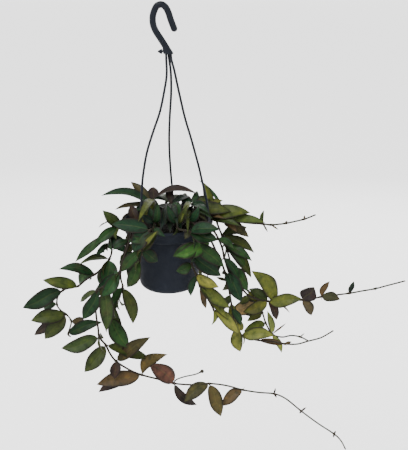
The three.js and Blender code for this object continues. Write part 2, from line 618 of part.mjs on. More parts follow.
/** A leafy stem: a rod along the route, with each leaf's stalk sunk into the rod at its joint. */
function makeVine(vine, random) {
  const route = vine.route.map((point) => new THREE.Vector3(...point));
  const root = ROOT_HEIGHTS.map((height) => new THREE.Vector3(route[0].x, route[0].y, height));
  const curve = smoothCurve([route[0], ...root, ...route.slice(1)]);
  const steps = Math.ceil(curve.getLength() / STEM_STEP);
  const rings = curve.getSpacedPoints(steps);
  const nearest = (point) => rings.reduce(
    (best, ring) => (ring.distanceTo(point) < best.distanceTo(point) ? ring : best),
  );
  const bodies = [solid(rod(curve, STEM_RADIUS, STEM_SIDES, STEM_STEP))];
  for (const [joint, x, y, z, width, facing, bow, lean, heading = VIEWER_HEADING] of vine.leaves) {
    const leaf = { tip: new THREE.Vector3(x, y, z), width, facing, bow, lean, heading };
    const fold = LEAF_FOLD_LEAST + LEAF_FOLD_RANGE * random();
    bodies.push(makeLeaf(nearest(route[joint]), leaf, fold));
  }
  for (const spur of vine.spurs ?? []) {
    const points = [nearest(route[spur.joint]), ...spur.route.map((point) => new THREE.Vector3(...point))];
    const end = points[points.length - 1];
    bodies.push(solid(rod(smoothCurve(points), FLOWER_SPUR_RADIUS, STEM_SIDES, STEM_STEP)));
    bodies.push(solid(new THREE.IcosahedronGeometry(spur.headRadius, 1).translate(end.x, end.y, end.z)));
  }
  return joined(bodies);
}

/** The route and leaves of a vine that hangs behind the pot, swaying a little as it falls. */
function backVine({ name, rimAngle, out, drop, pairs }, random) {
  const route = [
    polar(BACK_ROOT_RADIUS, rimAngle, -26),
    polar(BACK_ROOT_RADIUS + 8, rimAngle, 2),
    polar(BACK_ROOT_RADIUS + 20, rimAngle, BACK_RIM_HEIGHT + 2),
    polar(BEAD_RADIUS + 6, rimAngle, BACK_RIM_HEIGHT - 2),
  ];
  const leaves = [];
  for (let k = 1; k <= pairs; k += 1) {
    const sway = BACK_SWAY * (2 * random() - 1);
    const height = BACK_RIM_HEIGHT - (drop * k) / pairs;
    const joint = polar(BEAD_RADIUS + out, rimAngle + sway, height);
    for (const turn of [-1, 1]) {
      const length = BACK_LEAF_LENGTH * (0.8 + 0.4 * random());
      const reach = BACK_LEAF_REACH * length;
      const tip = polar(BEAD_RADIUS + out + 4 * random(), rimAngle + sway, height - reach);
      tip.add(polar(turn * Math.sqrt(length ** 2 - reach ** 2), rimAngle - 90, 0));
      const width = BACK_LEAF_WIDTH * (0.85 + 0.3 * random());
      leaves.push([route.length, tip.x, tip.y, tip.z, width, BACK_LEAF_FACING, 4, 0, rimAngle]);
    }
    route.push(joint);
  }
  return { name, route: route.map((point) => point.toArray()), leaves };
}

/** A low shoot whose leaves fan out, each a little lower than its own joint. */
function backShoot({ name, root, height, headings }, random) {
  const [x, y] = root;
  const route = [[x, y, -26], [x, y + 3, -6], [x, y + 6, height]];
  const leaves = headings.map((heading) => {
    const tip = polar(44 + 10 * random(), heading, -2 * random()).add(new THREE.Vector3(...route[2]));
    return [2, tip.x, tip.y, tip.z, 16 + 3 * random(), 12, 7, 0, heading];
  });
  return { name, route, leaves };
}

function material(colour, roughness) {
  return new THREE.MeshStandardMaterial({ color: colour, roughness, metalness: 0 });
}

function mesh(name, body, finish) {
  const part = new THREE.Mesh(geometryOf(body), finish);
  part.name = name;
  return part;
}

const random = makeRandom(SEED);
const vines = [
  ...VINES,
  ...BACK_VINES.map((vine) => backVine(vine, random)),
  backShoot(BACK_SHOOT, random),
];

const hanger = new THREE.Group();
hanger.add(mesh('hook', makeHook(), material(0x1b1e24, 0.45)));
for (const strand of STRANDS) {
  hanger.add(mesh(`strand_${strand.name}`, makeStrand(strand), material(0x17191d, 0.5)));
}

const pottedPlant = new THREE.Group();
pottedPlant.position.set(...RIM_CENTRE);
for (const strand of STRANDS) {
  pottedPlant.add(mesh(`rim_clip_${strand.name}`, makeClip(strand), material(0x3a3d42, 0.5)));
}
pottedPlant.add(mesh('pot', makePot(), material(0x262b33, 0.55)));
pottedPlant.add(mesh('soil', makeSoil(vines), material(0x2a2119, 0.95)));
for (const vine of vines) {
  pottedPlant.add(mesh(vine.name, makeVine(vine, random), material(0x35552d, 0.5)));
}

const hangingHoya = new THREE.Group();
hangingHoya.add(hanger, pottedPlant);

export default hangingHoya;
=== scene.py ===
"""Looks of a hanging potted hoya: hook, strands, clips, pot, soil and leafy vines, built round the frame.

Lengths are in millimetres until a mesh is made, and heights and places of the pot, soil and vines count from
the centre of the pot's rim. The row frame has its origin at the seat of the hook, +X to the right, -Y towards
the viewer and +Z up.
"""

import logging
import math
from dataclasses import dataclass, field
from enum import Enum

import bpy
import numpy as np
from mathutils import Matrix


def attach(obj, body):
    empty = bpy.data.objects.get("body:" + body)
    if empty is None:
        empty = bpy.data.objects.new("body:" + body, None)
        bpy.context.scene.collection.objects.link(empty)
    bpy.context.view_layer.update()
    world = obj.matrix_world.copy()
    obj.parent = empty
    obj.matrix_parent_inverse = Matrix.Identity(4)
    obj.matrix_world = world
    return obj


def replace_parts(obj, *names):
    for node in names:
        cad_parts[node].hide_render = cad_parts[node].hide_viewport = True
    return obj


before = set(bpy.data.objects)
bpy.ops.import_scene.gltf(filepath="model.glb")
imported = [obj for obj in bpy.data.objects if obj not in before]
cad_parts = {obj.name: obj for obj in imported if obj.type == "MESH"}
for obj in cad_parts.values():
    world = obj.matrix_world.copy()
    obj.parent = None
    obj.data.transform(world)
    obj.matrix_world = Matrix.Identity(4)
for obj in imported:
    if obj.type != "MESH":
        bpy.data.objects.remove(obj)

Array = np.ndarray
Pair = tuple[float, float]
Point = tuple[float, float, float]
Colour = tuple[float, float, float]
Outline = tuple[Pair, ...]
Socket = bpy.types.NodeSocket

MM = 0.001
ROOT_BODY = "root"
ROW_ORIGIN = np.zeros(3)
RIM_CENTRE = np.array([6.0, 0.0, -350.0])
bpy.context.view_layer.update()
# The placing seed is the one that the solids behind the pot were drawn with.
PLACING_SEED = 2027
DETAIL_SEED = 41
YOUNG_SEED = 7

log = logging.getLogger("hanging_hoya")


class Slot(Enum):
    """Material slots of the record."""

    HANGER = "hanger_plastic"
    CLIP = "clip_plastic"
    POT = "pot_plastic"
    SOIL = "soil"
    FOLIAGE = "foliage"


class Tone(Enum):
    """Leaf colours of the plant as linear red, green and blue, from the deepest green to dried brown."""

    # DUSK is the darkest green; leaves deep in the crown take it partly as painted shade for the shade inside
    # the crown.
    DUSK = (0.0029, 0.0074, 0.0046)
    DEEP = (0.0034, 0.0142, 0.0050)
    FOREST = (0.0072, 0.0232, 0.0055)
    FRESH = (0.0140, 0.0390, 0.0060)
    MOSS = (0.0148, 0.0222, 0.0050)
    OLIVE = (0.0345, 0.0432, 0.0073)
    KHAKI = (0.0740, 0.0860, 0.0185)
    STRAW = (0.0730, 0.0810, 0.0155)
    UMBER = (0.0162, 0.0154, 0.0060)
    BRONZE = (0.0310, 0.0245, 0.0080)
    BROWN = (0.0380, 0.0260, 0.0120)
    RUSSET = (0.0350, 0.0165, 0.0125)
    MAROON = (0.0120, 0.0070, 0.0056)
    # TAN is a pinkish tint brightened past the leaf's own colour: partly the leaf's tint, partly a painted
    # highlight.
    TAN = (0.2000, 0.1300, 0.0560)


DUSK, DEEP, FOREST, FRESH, MOSS, OLIVE, KHAKI, STRAW, UMBER, BRONZE, BROWN, RUSSET, MAROON, TAN = Tone


@dataclass(frozen=True)
class Leaf:
    """One leaf: the route point it grows from, its tip, blade width, facing, bow, lean, tone and heading.

    Facing is in degrees from upward to the heading, and the heading is an angle round Z (-90 is the viewer).
    """

    joint: int
    x: float
    y: float
    z: float
    width: float
    facing: float
    bow: float
    lean: float
    tone: Tone
    heading: float = -90.0

    @property
    def tip(self) -> Array:
        """Tip of the blade, from the centre of the rim."""
        return np.array([self.x, self.y, self.z])


@dataclass(frozen=True)
class Spur:
    """A short woody stalk of an old flower head: its joint, its points and the radius of its head."""

    joint: int
    head_radius: float
    route: tuple[Point, ...]


@dataclass(frozen=True)
class Vine:
    """A leafy stem: its node's name, its route from the root to the growing tip, its leaves and its spurs.

    The young leaves are narrow ones that only the finished pieces have.
    """

    name: str
    route: tuple[Point, ...]
    leaves: tuple[Leaf, ...]
    young: tuple[Leaf, ...] = ()
    spurs: tuple[Spur, ...] = ()


@dataclass(frozen=True)
class Strand:
    """A strand: its name, its angles round the rim and in the hook's foot, and its course.

    A step of the course is the share of the way down, the share of the way out and millimetres to the right.
    """

    name: str
    rim_angle: float
    foot_angle: float
    course: tuple[Point, ...]


@dataclass(frozen=True)
class BackVine:
    """A vine behind the pot: its node's name, angle round the rim, stand-off, fall and pairs of leaves."""

    name: str
    rim_angle: float
    out: float
    drop: float
    pairs: int


@dataclass(frozen=True)
class BackShoot:
    """A low shoot at the back of the crown: its name, root, height and the headings of its leaves.

    A leaf's length, drop and width are each drawn from the first number on over the second.
    """

    name: str
    root: Pair
    height: float
    headings: tuple[float, ...]
    lengths: Pair = (44, 10)
    drops: Pair = (0, 2)
    widths: Pair = (16, 3)
    facing: float = 12
    bow: float = 7


STRANDS = (
    Strand("back", 86, 90, (
        (0.03, 0, 0.5), (0.12, 0.02, 3), (0.25, 0.1, 2.8), (0.42, 0.4, -0.9), (0.57, 0.66, -3.2),
        (0.7, 0.81, -3.2), (0.83, 0.92, -1.8), (0.94, 0.98, 0), (1, 1, 0),
    )),
    Strand("left", 236, 200, (
        (0.03, 0, 0), (0.12, -0.01, 0), (0.2, 0.06, 0), (0.34, 0.25, 0), (0.46, 0.52, 0),
        (0.57, 0.74, 0), (0.69, 0.88, 0), (0.78, 0.94, 0), (0.92, 0.99, 0), (1, 1, 0),
    )),
    Strand("right", 337, 335, (
        (0.03, 0.01, 0), (0.1, 0.09, 0), (0.22, 0.2, 0), (0.38, 0.36, 0), (0.52, 0.54, 0),
        (0.68, 0.73, 0), (0.77, 0.82, 0), (0.9, 0.95, 0), (1, 1, 0),
    )),
)
BACK_VINES = (
    BackVine("vine_back_left", 130, 10, 96, 4),
    BackVine("vine_back_mid_left", 111, 26, 112, 4),
    BackVine("vine_back_middle", 94, 10, 112, 4),
    BackVine("vine_back_mid_right", 75, 26, 117, 4),
    BackVine("vine_back_right", 57, 10, 100, 4),
)
BACK_SHOOT = BackShoot("shoot_crown_back", (2, 38), 15, (26, 52, 116, 149, 172))


def leaves(*rows: tuple[object, ...]) -> tuple[Leaf, ...]:
    """Leaves from rows of joint, tip (x, y, z), width, facing, bow, lean and tone."""
    return tuple(Leaf(*row) for row in rows)


VINES = (
    Vine("vine_far_left", (
        (-38, 2, -26), (-46, 0, 2), (-60, -8, 13), (-73, -14, 9), (-80, -18, -8), (-94, -18, -22),
        (-97, -17, -37), (-95, -16, -51), (-100, -15, -67), (-111, -13, -82), (-126, -12, -96),
        (-142, -10, -107), (-156, -9, -119), (-170, -7, -123), (-183, -6, -128), (-192, -5, -139),
        (-195, -4, -155), (-190, -3, -166), (-180, -2, -175), (-172, -1, -188), (-175, 0, -202),
        (-179, 0, -214), (-175, 0, -219),
    ), leaves(
        (4, -106, -30, 25, 17, 60, 3, 0, MOSS), (4, -119, 5, -16, 13, -5, 8, 6, DEEP),
        (5, -157, -25, -68, 15, 45, 8, 0, FOREST), (5, -72, -40, -45, 21, 60, 4, 0, DEEP),
        (6, -122, -25, -57, 10, 50, 3, 0, DEEP), (8, -150, -28, -71, 15, 25, 8, 0, MOSS),
        (8, -104, -28, -113, 27, 75, 3, 0, FOREST), (10, -185, -25, -81, 16, 50, 8, 4, DEEP),
        (10, -157, 12, -128, 17, 60, 3, 8, FOREST), (12, -214, -22, -102, 19, 60, 5, 0, OLIVE),
        (14, -253, -16, -157, 26, 70, 3, 0, DEEP), (16, -223, 14, -168, 16, 60, 3, 0, FOREST),
        (18, -240, -16, -181, 24, 65, 5, 2, MOSS), (18, -220, -4, -222, 24, 65, 5, 0, MOSS),
        (18, -244, 22, -227, 17, 60, 3, 0, MAROON), (19, -152, 14, -205, 16, 60, 3, -4, BROWN),
        (21, -117, -8, -187, 19, 60, 5, -3, DEEP), (4, -122, -36, -34, 16, 50, 6, 0, FOREST),
    ), young=leaves(
        (6, -77, -22, -48, 11, 60, 3, 0, FOREST), (9, -118, -24, -109, 12, 60, 3, 0, DEEP),
    )),
    Vine("vine_long", (
        (-30, -32, -26), (-38, -40, 2), (-48, -50, 12), (-56, -59, 9), (-58, -68, -6), (-66, -73, -32),
        (-74, -76, -52), (-78, -78, -67), (-90, -79, -81), (-102, -79, -90), (-115, -79, -98),
        (-119, -76, -118), (-119, -72, -145), (-117, -68, -172), (-116, -66, -188), (-106, -62, -205),
        (-100, -60, -221), (-90, -57, -238), (-68, -54, -256), (-47, -50, -268), (-19, -45, -279),
        (8, -38, -291), (40, -32, -297), (70, -26, -298), (100, -20, -305), (130, -14, -317),
        (159, -9, -325), (187, -5, -330), (209, 0, -343), (238, 5, -371), (270, 9, -399), (301, 12, -423),
        (315, 14, -439), (324, 15, -457),
    ), leaves(
        (7, -107, -92, -103, 20, 70, 4, -3, FOREST), (9, -101, -92, -165, 22, 75, 3, -3, MOSS),
        (10, -140, -88, -146, 21, 70, 3, -3, DEEP), (10, -147, -60, -126, 13, 40, 3, 0, MOSS),
        (14, -180, -76, -204, 23, 65, 3, -4, MOSS), (15, -142, -80, -247, 24, 70, 3, -2, MOSS),
        (15, -32, -47, -238, 19, 50, 4, 1, MOSS), (17, -30, -66, -188, 20, 60, 3, -2, UMBER),
        (17, -92, -70, -265, 17, 70, 2, 0, MAROON), (19, -124, -66, -278, 25, 60, 3, 2, BROWN),
        (19, -126, -36, -310, 20, 60, 3, 6, MAROON), (19, -2, -62, -223, 19, 60, 3, -11, BRONZE),
        (21, -34, -52, -244, 28, 65, 3, 4, RUSSET), (21, 49, -26, -341, 15, 60, 2, 7, MAROON),
        (23, 26, -44, -325, 22, 60, 3, 5, BRONZE), (23, 91, -38, -358, 22, 70, 3, -1, BRONZE),
        (25, 91, -28, -342, 19, 60, 3, 3, BROWN), (27, 189, -5, -318, 3, 60, 0, 0, MAROON),
        (27, 192, -5, -338, 3, 60, 0, 0, MAROON), (29, 247, 5, -363, 3, 60, 0, 0, MAROON),
        (29, 235, 5, -376, 3, 60, 0, 0, MAROON), (31, 304, 12, -416, 3, 60, 0, 0, MAROON),
        (31, 300, 12, -431, 3, 60, 0, 0, MAROON), (2, -59, -34, 36, 15, 50, 4, -2, MAROON),
    ), spurs=(
        Spur(21, 3.5, ((12, -38, -284), (26, -42, -276), (46, -44, -270), (58, -44, -264))),
    )),
    Vine("vine_left_front", (
        (-34, -14, -26), (-42, -24, 2), (-50, -37, 13), (-60, -51, 10), (-64, -54, -18), (-71, -55, -41),
        (-75, -57, -56), (-78, -57, -74), (-77, -57, -88), (-75, -56, -101), (-81, -54, -120),
        (-89, -52, -139), (-97, -50, -160), (-104, -48, -180),
    ), leaves(
        (9, -59, -62, -166, 20, 70, 3, -7, MOSS), (10, -109, -48, -154, 17, 70, 3, 0, MOSS),
        (11, -87, -40, -197, 17, 70, 3, 0, MOSS), (12, -67, -62, -211, 26, 70, 3, 3, FOREST),
        (7, -128, -50, -125, 16, 50, 4, 0, DEEP), (5, -50, -48, -54, 11, 40, 3, 0, FOREST),
    ), young=leaves(
        (4, -88, -64, -32, 13, 60, 4, 2, DEEP), (6, -52, -60, -81, 13, 60, 4, -2, DEEP),
        (9, -93, -60, -134, 12, 65, 3, 2, FOREST),
    )),
    Vine("vine_left_rim", (
        (-14, -34, -26), (-17, -46, 3), (-19, -60, 13), (-21, -76, 9), (-26, -86, 10), (-32, -88, -6),
        (-39, -86, -24), (-43, -82, -43), (-44, -80, -54),
    ), leaves(
        (4, -87, -78, 18, 22, 48, 3, 1, DEEP), (4, -53, -94, -24, 25, 70, 3, 3, DEEP),
        (6, -12, -98, 13, 18, 50, 3, 0, MOSS), (6, -74, -84, -63, 18, 70, 3, 3, FOREST),
        (6, -14, -84, -45, 19, 65, 4, 0, DEEP), (7, -66, -78, -93, 19, 70, 3, -3, FOREST),
        (2, -13, -74, 52, 13, 70, 4, 2, DEEP), (2, -27, -58, 40, 12, 70, 4, -2, DEEP),
        (2, -41, -64, 30, 12, 60, 4, -2, DUSK),
    ), young=leaves(
        (5, -61, -90, -7, 12, 60, 4, 0, FOREST), (3, -1, -92, 1, 10, 60, 5, 0, DEEP),
        (6, -13, -104, 15, 9, 55, 4, 0, OLIVE),
    )),
    Vine("shoot_crown_left", (
        (-22, 6, -26), (-24, 4, 0), (-24, 0, 23), (-25, 0, 34),
    ), leaves(
        (2, -111, -6, 44, 19, 12, 14, 0, DEEP), (2, -63, 22, 60, 16, 30, 3, 0, UMBER),
        (3, -25, 26, 50, 17, 50, 0, 0, MAROON), (3, -39, -74, 16, 18, 60, 8, 0, OLIVE),
        (2, -88, -14, 23, 17, 20, 3, 0, UMBER), (3, 51, 6, 42, 15, 5, 14, 0, MAROON),
        (2, -22, -62, 9, 18, 40, 8, 0, FOREST), (2, -57, -20, 16, 16, 30, 6, 0, DEEP),
        (3, -16, -36, -5, 14, 65, 6, 0, DEEP),
    ), young=leaves(
        (3, -44, -94, 27, 13, 60, 12, 0, OLIVE),
    )),
    # Many leaves of this shoot take DUSK, partly as painted shade deep in the crown.
    Vine("shoot_crown_middle", (
        (4, -4, -26), (5, -6, 0), (5, -8, 17), (6, -8, 29),
    ), leaves(
        (3, 27, 34, 27, 17, 5, 6, 0, MOSS), (2, -2, -66, 14, 18, 40, 8, 0, DEEP),
        (3, 25, -64, 22, 18, 40, 8, 0, FOREST), (2, -32, 34, 1, 19, 10, 8, 0, DUSK),
        (3, -20, 40, 28, 17, 10, 8, 0, MOSS), (2, 12, -68, 13, 18, 35, 7, 0, DEEP),
        (3, 0, 20, 50, 12, 40, 4, 0, MAROON), (3, -9, -74, 6, 14, 65, 8, 2, DUSK),
        (3, 24, -65, 2, 14, 65, 8, -2, DEEP), (2, 6, -76, 3, 15, 60, 8, 0, DUSK),
    ), young=leaves(
        (3, 37, 20, 34, 14, 40, 6, 0, DUSK), (3, -2, -84, 20, 9, 60, 10, 2, DUSK),
        (3, 19, -86, 15, 9, 60, 10, -2, DUSK), (2, -11, -50, 22, 12, 45, 8, 0, DEEP),
    )),
    Vine("shoot_crown_right", (
        (22, 8, -26), (25, 6, 0), (37, 2, 14), (41, 0, 27),
    ), leaves(
        (2, 106, -16, 19, 22, 40, 8, 0, MOSS), (2, 69, -60, 30, 17, 35, 12, 0, DEEP),
        (3, 12, 44, 14, 18, 10, 6, 0, MOSS), (2, 66, -52, 14, 12, 40, 6, 0, UMBER),
        (3, 76, 3, 26, 16, 30, 5, 0, MOSS), (2, 43, -62, 6, 14, 60, 8, 0, DEEP),
    ), young=leaves(
        (3, 16, 24, 28, 13, 40, 6, 0, DEEP), (3, 20, 14, 17, 14, 40, 4, 2, DUSK),
        (3, 49, 16, 45, 10, 45, 2, 2, DEEP), (3, 78, 20, 31, 14, 45, 5, 0, MOSS),
        (3, 69, -30, 28, 13, 50, 6, 0, DEEP), (3, 24, -88, 25, 9, 60, 12, 3, OLIVE),
        (2, 35, -98, 5, 8, 60, 14, 2, MOSS), (2, 75, -56, 19, 12, 40, 8, 0, FOREST),
    )),
    Vine("vine_right_upper", (
        (34, 14, -26), (40, 12, 2), (52, 8, 14), (66, 2, 5), (95, -2, 1), (122, -4, -4), (142, -5, -6),
        (160, -5, -7), (174, -4, -9), (199, -2, -7), (230, 2, -1), (249, 4, 6),
    ), leaves(
        (3, 138, -12, 16, 24, 50, 10, 0, OLIVE), (3, 57, 14, 63, 15, 60, 0, 7, OLIVE),
        (4, 51, 24, 62, 8, 0, 0, 14, FOREST), (4, 137, -10, -29, 17, 60, 5, 0, UMBER),
        (4, 163, -20, 1, 18, 40, 5, 0, OLIVE), (7, 162, -3, 17, 6, 60, 0, -3, MOSS),
        (7, 169, -5, -22, 3, 60, 0, 0, BROWN), (8, 187, -4, -18, 3, 60, 0, 0, BROWN),
        (9, 201, -2, -2, 3, 60, 0, 0, BROWN), (10, 231, 2, 6, 3, 60, 0, 0, BROWN),
        (4, 120, 40, 8, 18, 10, 8, 0, MOSS), (3, 121, -30, -2, 15, 50, 6, 0, MOSS),
    ), young=leaves(
        (2, 93, 10, 30, 14, 45, 6, 0, OLIVE), (3, 94, -34, 13, 7, 50, 3, 0, BROWN),
        (4, 116, -22, -16, 13, 60, 4, 0, BROWN), (4, 132, 12, -4, 13, 40, 6, 0, MOSS),
    )),
    Vine("vine_far_right", (
        (30, -16, -26), (38, -22, 2), (50, -30, 13), (62, -36, 9), (74, -42, -2), (84, -48, -17),
        (91, -50, -34), (94, -50, -50), (99, -49, -66), (104, -46, -83), (113, -43, -99), (125, -40, -111),
        (137, -37, -125), (153, -34, -133), (170, -30, -138), (184, -28, -140), (206, -25, -140),
        (229, -22, -139), (246, -20, -138), (262, -18, -135), (286, -15, -133), (311, -12, -131),
        (333, -9, -128), (356, -6, -125), (382, -3, -119), (408, 0, -113),
    ), leaves(
        (8, 134, -58, -109, 19, 65, 4, -5, FOREST), (15, 141, -36, -80, 25, 60, 4, 8, OLIVE),
        (14, 138, -17, -120, 17, 50, 3, 0, MOSS), (14, 127, -44, -152, 19, 60, 3, -3, OLIVE),
        (14, 226, -44, -127, 21, 60, 3, 1, OLIVE), (14, 186, -28, -174, 13, 60, 3, -3, MAROON),
        (15, 208, -30, -160, 3, 60, 0, -2, BROWN), (17, 249, -20, -116, 25, 60, 0, 2, MAROON),
        (17, 246, -26, -167, 16, 60, 3, -3, BROWN), (19, 276, -16, -107, 10, 60, 0, -3, BROWN),
        (19, 294, -24, -137, 16, 60, 2, -2, UMBER), (21, 318, -11, -109, 8, 60, 0, 0, DUSK),
        (23, 359, -10, -123, 5, 60, 0, 0, DUSK),
    ), young=leaves(
        (7, 119, -62, -88, 13, 60, 6, -3, DEEP), (5, 110, -58, -32, 12, 55, 5, -2, FOREST),
        (12, 122, -40, -139, 12, 60, 3, 0, MOSS),
    )),
    Vine("vine_right_back", (
        (38, 26, -26), (46, 26, 2), (60, 27, 14), (75, 26, 10), (84, 19, -16), (92, 10, -34), (98, 2, -49),
        (104, -4, -69), (109, -8, -88), (123, -10, -111), (138, -10, -129), (151, -8, -149),
        (162, -6, -169), (169, -4, -191), (181, -2, -213), (198, -2, -219), (214, -2, -216),
        (230, -3, -218), (244, -4, -225),
    ), leaves(
        (5, 147, -2, -60, 17, 45, 10, 0, MOSS), (5, 135, 34, -26, 18, 40, 4, 0, MOSS),
        (6, 142, -20, -68, 16, 45, 10, 0, FOREST), (6, 141, -30, -95, 18, 58, 8, -5, MOSS),
        # The TAN leaf's tone carries a partly painted highlight.
        (11, 105, -26, -160, 24, 65, 4, -3, TAN), (10, 153, -30, -141, 13, 60, 3, 0, KHAKI),
        (13, 130, -16, -201, 17, 60, 3, 0, OLIVE), (12, 131, 10, -180, 13, 50, 3, 0, MOSS),
        (14, 171, -6, -167, 11, 60, 0, 2, KHAKI), (14, 198, -10, -246, 10, 60, 0, -3, KHAKI),
        (14, 205, -2, -192, 3, 60, 0, 0, BROWN), (17, 238, -3, -211, 2, 60, 0, 0, BROWN),
    ), young=leaves(
        (6, 134, -26, -84, 13, 55, 8, -3, FOREST), (7, 109, -16, -101, 9, 60, 3, 2, OLIVE),
        (8, 134, -20, -103, 12, 60, 5, -3, MOSS), (12, 135, -22, -179, 12, 60, 3, 0, OLIVE),
        (11, 128, -22, -132, 11, 60, 3, 2, MOSS),
    )),
    Vine("vine_right_low", (
        (22, -32, -26), (28, -42, 3), (38, -54, 13), (50, -64, 9), (71, -74, -11), (80, -76, -29),
        (89, -74, -49), (95, -71, -68), (99, -68, -85), (104, -63, -112), (108, -59, -138),
        (111, -56, -157), (117, -53, -176), (124, -50, -192), (150, -47, -203), (178, -44, -207),
        (199, -41, -213), (221, -38, -215), (240, -35, -211), (261, -31, -207), (272, -29, -202),
        (284, -27, -195),
    ), leaves(
        (7, 122, -84, -116, 22, 70, 3, -3, DEEP), (8, 81, -66, -79, 5, 50, 0, 0, UMBER),
        (11, 127, -46, -186, 13, 60, 3, 0, KHAKI), (11, 106, -50, -133, 13, 60, 2, 0, KHAKI),
        (12, 123, -58, -220, 19, 70, 3, 4, STRAW), (13, 180, -58, -189, 20, 60, 3, -3, STRAW),
        (16, 154, -30, -212, 10, 40, 2, 0, BROWN), (16, 211, -50, -205, 5, 40, 0, 0, BROWN),
        (2, 53, -66, 44, 13, 70, 4, 2, DEEP),
    ), young=leaves(
        (10, 123, -64, -167, 12, 65, 4, -2, DEEP), (9, 94, -70, -136, 12, 65, 3, 2, MOSS),
        (6, 76, -76, -71, 11, 60, 3, 2, FOREST), (4, 13, -104, -27, 22, 62, 6, -6, FRESH),
    )),
    Vine("vine_right_rim", (
        (12, -36, -26), (14, -48, 3), (17, -62, 13), (20, -77, 9), (38, -84, 6), (48, -86, -12),
        (43, -84, -31), (41, -80, -50), (48, -78, -70), (54, -78, -90), (66, -78, -111), (77, -78, -133),
        (82, -78, -146),
    ), leaves(
        (4, 85, -96, 16, 22, 35, 5, 0, DEEP), (4, 83, -100, -1, 24, 55, 4, 3, DEEP),
        (5, 11, -98, -30, 24, 65, 4, -5, FRESH), (5, 93, -98, -48, 22, 65, 4, 0, FOREST),
        (6, 89, -84, -70, 22, 65, 3, 2, DEEP), (7, 15, -84, -61, 17, 60, 4, -4, FOREST),
        (8, 39, -78, -108, 11, 60, 3, 3, DEEP), (8, 85, -94, -85, 18, 60, 3, 4, STRAW),
        (9, 104, -88, -125, 20, 60, 3, 1, OLIVE), (9, 64, -66, -136, 9, 50, 3, 0, BROWN),
        (11, 119, -80, -176, 18, 65, 3, -3, STRAW), (4, 30, -92, -3, 10, 50, 3, 0, UMBER),
        (2, 34, -72, 48, 11, 70, 3, 2, MOSS), (2, 2, -74, 49, 13, 70, 4, -2, DEEP),
    ), young=leaves(
        (9, 82, -84, -118, 12, 60, 3, 0, MOSS), (10, 101, -82, -149, 11, 60, 3, -2, OLIVE),
    )),
)


@dataclass
class Draws:
    """A repeatable source of numbers, the same one that the solids behind the pot were placed with."""

    state: int
    factor: int = 1664525
    step: int = 1013904223
    span: int = 2**32

    def within(self, low: float, width: float) -> float:
        """The next number, from low on over the width."""
        self.state = (self.state * self.factor + self.step) % self.span
        return low + width * (self.state / self.span)


def unit(vector: Array, least: float = 1e-9) -> Array:
    """The vector at length 1, along its last axis; one shorter than the least length stays short."""
    return vector / np.maximum(np.linalg.norm(vector, axis=-1, keepdims=True), least)


def from_least(spread: Pair, share: float) -> float:
    """The least value of a spread and a share of the range above it."""
    return spread[0] + spread[1] * share


def polar(radius: float, degrees: float, height: float) -> Array:
    """The point at a radius, an angle in degrees round Z and a height."""
    angle = math.radians(degrees)
    return np.array([radius * math.cos(angle), radius * math.sin(angle), height])


def full_turn(count: int) -> Array:
    """Angles that are spread evenly over a full turn."""
    return np.linspace(0, 2 * np.pi, count, endpoint=False)


def arc(centre: Pair, radii: Pair, ends: Pair, count: int) -> Array:
    """Points (x, y) on an ellipse: the centre plus the radii times the cosine and sine between two angles."""
    angle = np.linspace(*ends, count)
    return np.stack([centre[0] + radii[0] * np.cos(angle), centre[1] + radii[1] * np.sin(angle)], axis=1)


def rings_round_z(radius: Array, height: Array, sides: int) -> Array:
    """Rings round Z: for a radius r and a height h, the points (r cos a, r sin a, h) at even angles a.

    Args:
        radius: Radius of each ring.
        height: Height of each ring.
        sides: Points in a ring.

    Returns:
        The points in the shape (ring, place in the ring, 3).
    """
    angle = full_turn(sides)
    flat = (np.outer(radius, np.cos(angle)), np.outer(radius, np.sin(angle)))
    return np.stack([*flat, np.outer(height, np.ones(sides))], axis=-1)


def smooth_curve(points: Array, samples: int) -> Array:
    """Points on a smooth curve through the given ones.

    Between two points the curve is the cubic whose end slopes are half the chord of the neighbours, and
    before the first and after the last point the end chord is carried on.

    Args:
        points: The points, one a row.
        samples: How many points to give back in each stretch.

    Returns:
        The points of the curve, one a row, with the given points among them.
    """
    before, after = 2 * points[0] - points[1], 2 * points[-1] - points[-2]
    padded = np.vstack([before, points, after])
    p0, p1, p2, p3 = (padded[k : k + len(points) - 1, None] for k in range(4))
    t = np.linspace(0, 1, samples, endpoint=False)[None, :, None]
    m1, m2 = (p2 - p0) / 2, (p3 - p1) / 2
    curve = (
        (2 * t**3 - 3 * t**2 + 1) * p1
        + (t**3 - 2 * t**2 + t) * m1
        + (3 * t**2 - 2 * t**3) * p2
        + (t**3 - t**2) * m2
    )
    return np.vstack([curve.reshape(-1, 3), points[-1]])


def along_curve(points: Array) -> Array:
    """Length along a line of points up to each of them."""
    return np.concatenate([[0], np.cumsum(np.linalg.norm(np.diff(points, axis=0), axis=1))])


def respaced(points: Array, step: float) -> Array:
    """The same line of points with its corners at even lengths along it.

    Args:
        points: The line's points, one a row.
        step: About how far apart the new corners are.

    Returns:
        The new corners, one a row, three of them at least.
    """
    length = along_curve(points)
    places = np.linspace(0, length[-1], max(3, int(length[-1] / step) + 1))
    return np.stack([np.interp(places, length, points[:, k]) for k in range(3)], axis=1)


@dataclass
class Shell:
    """One closed surface: its points in millimetres, its faces, and a value for each point in each layer."""

    points: Array
    quads: Array
    triangles: Array
    layers: dict[str, Array] = field(default_factory=dict)

    def with_layer(self, name: str, value: object) -> "Shell":
        """Adds a layer to the shell.

        Args:
            name: The layer's name.
            value: One number or colour for all points, or one for each.

        Returns:
            The same shell.
        """
        value = np.asarray(value, float)
        is_colour = value.shape[-1:] == (3,)
        self.layers[name] = np.broadcast_to(value, (len(self.points), 3) if is_colour else len(self.points))
        return self


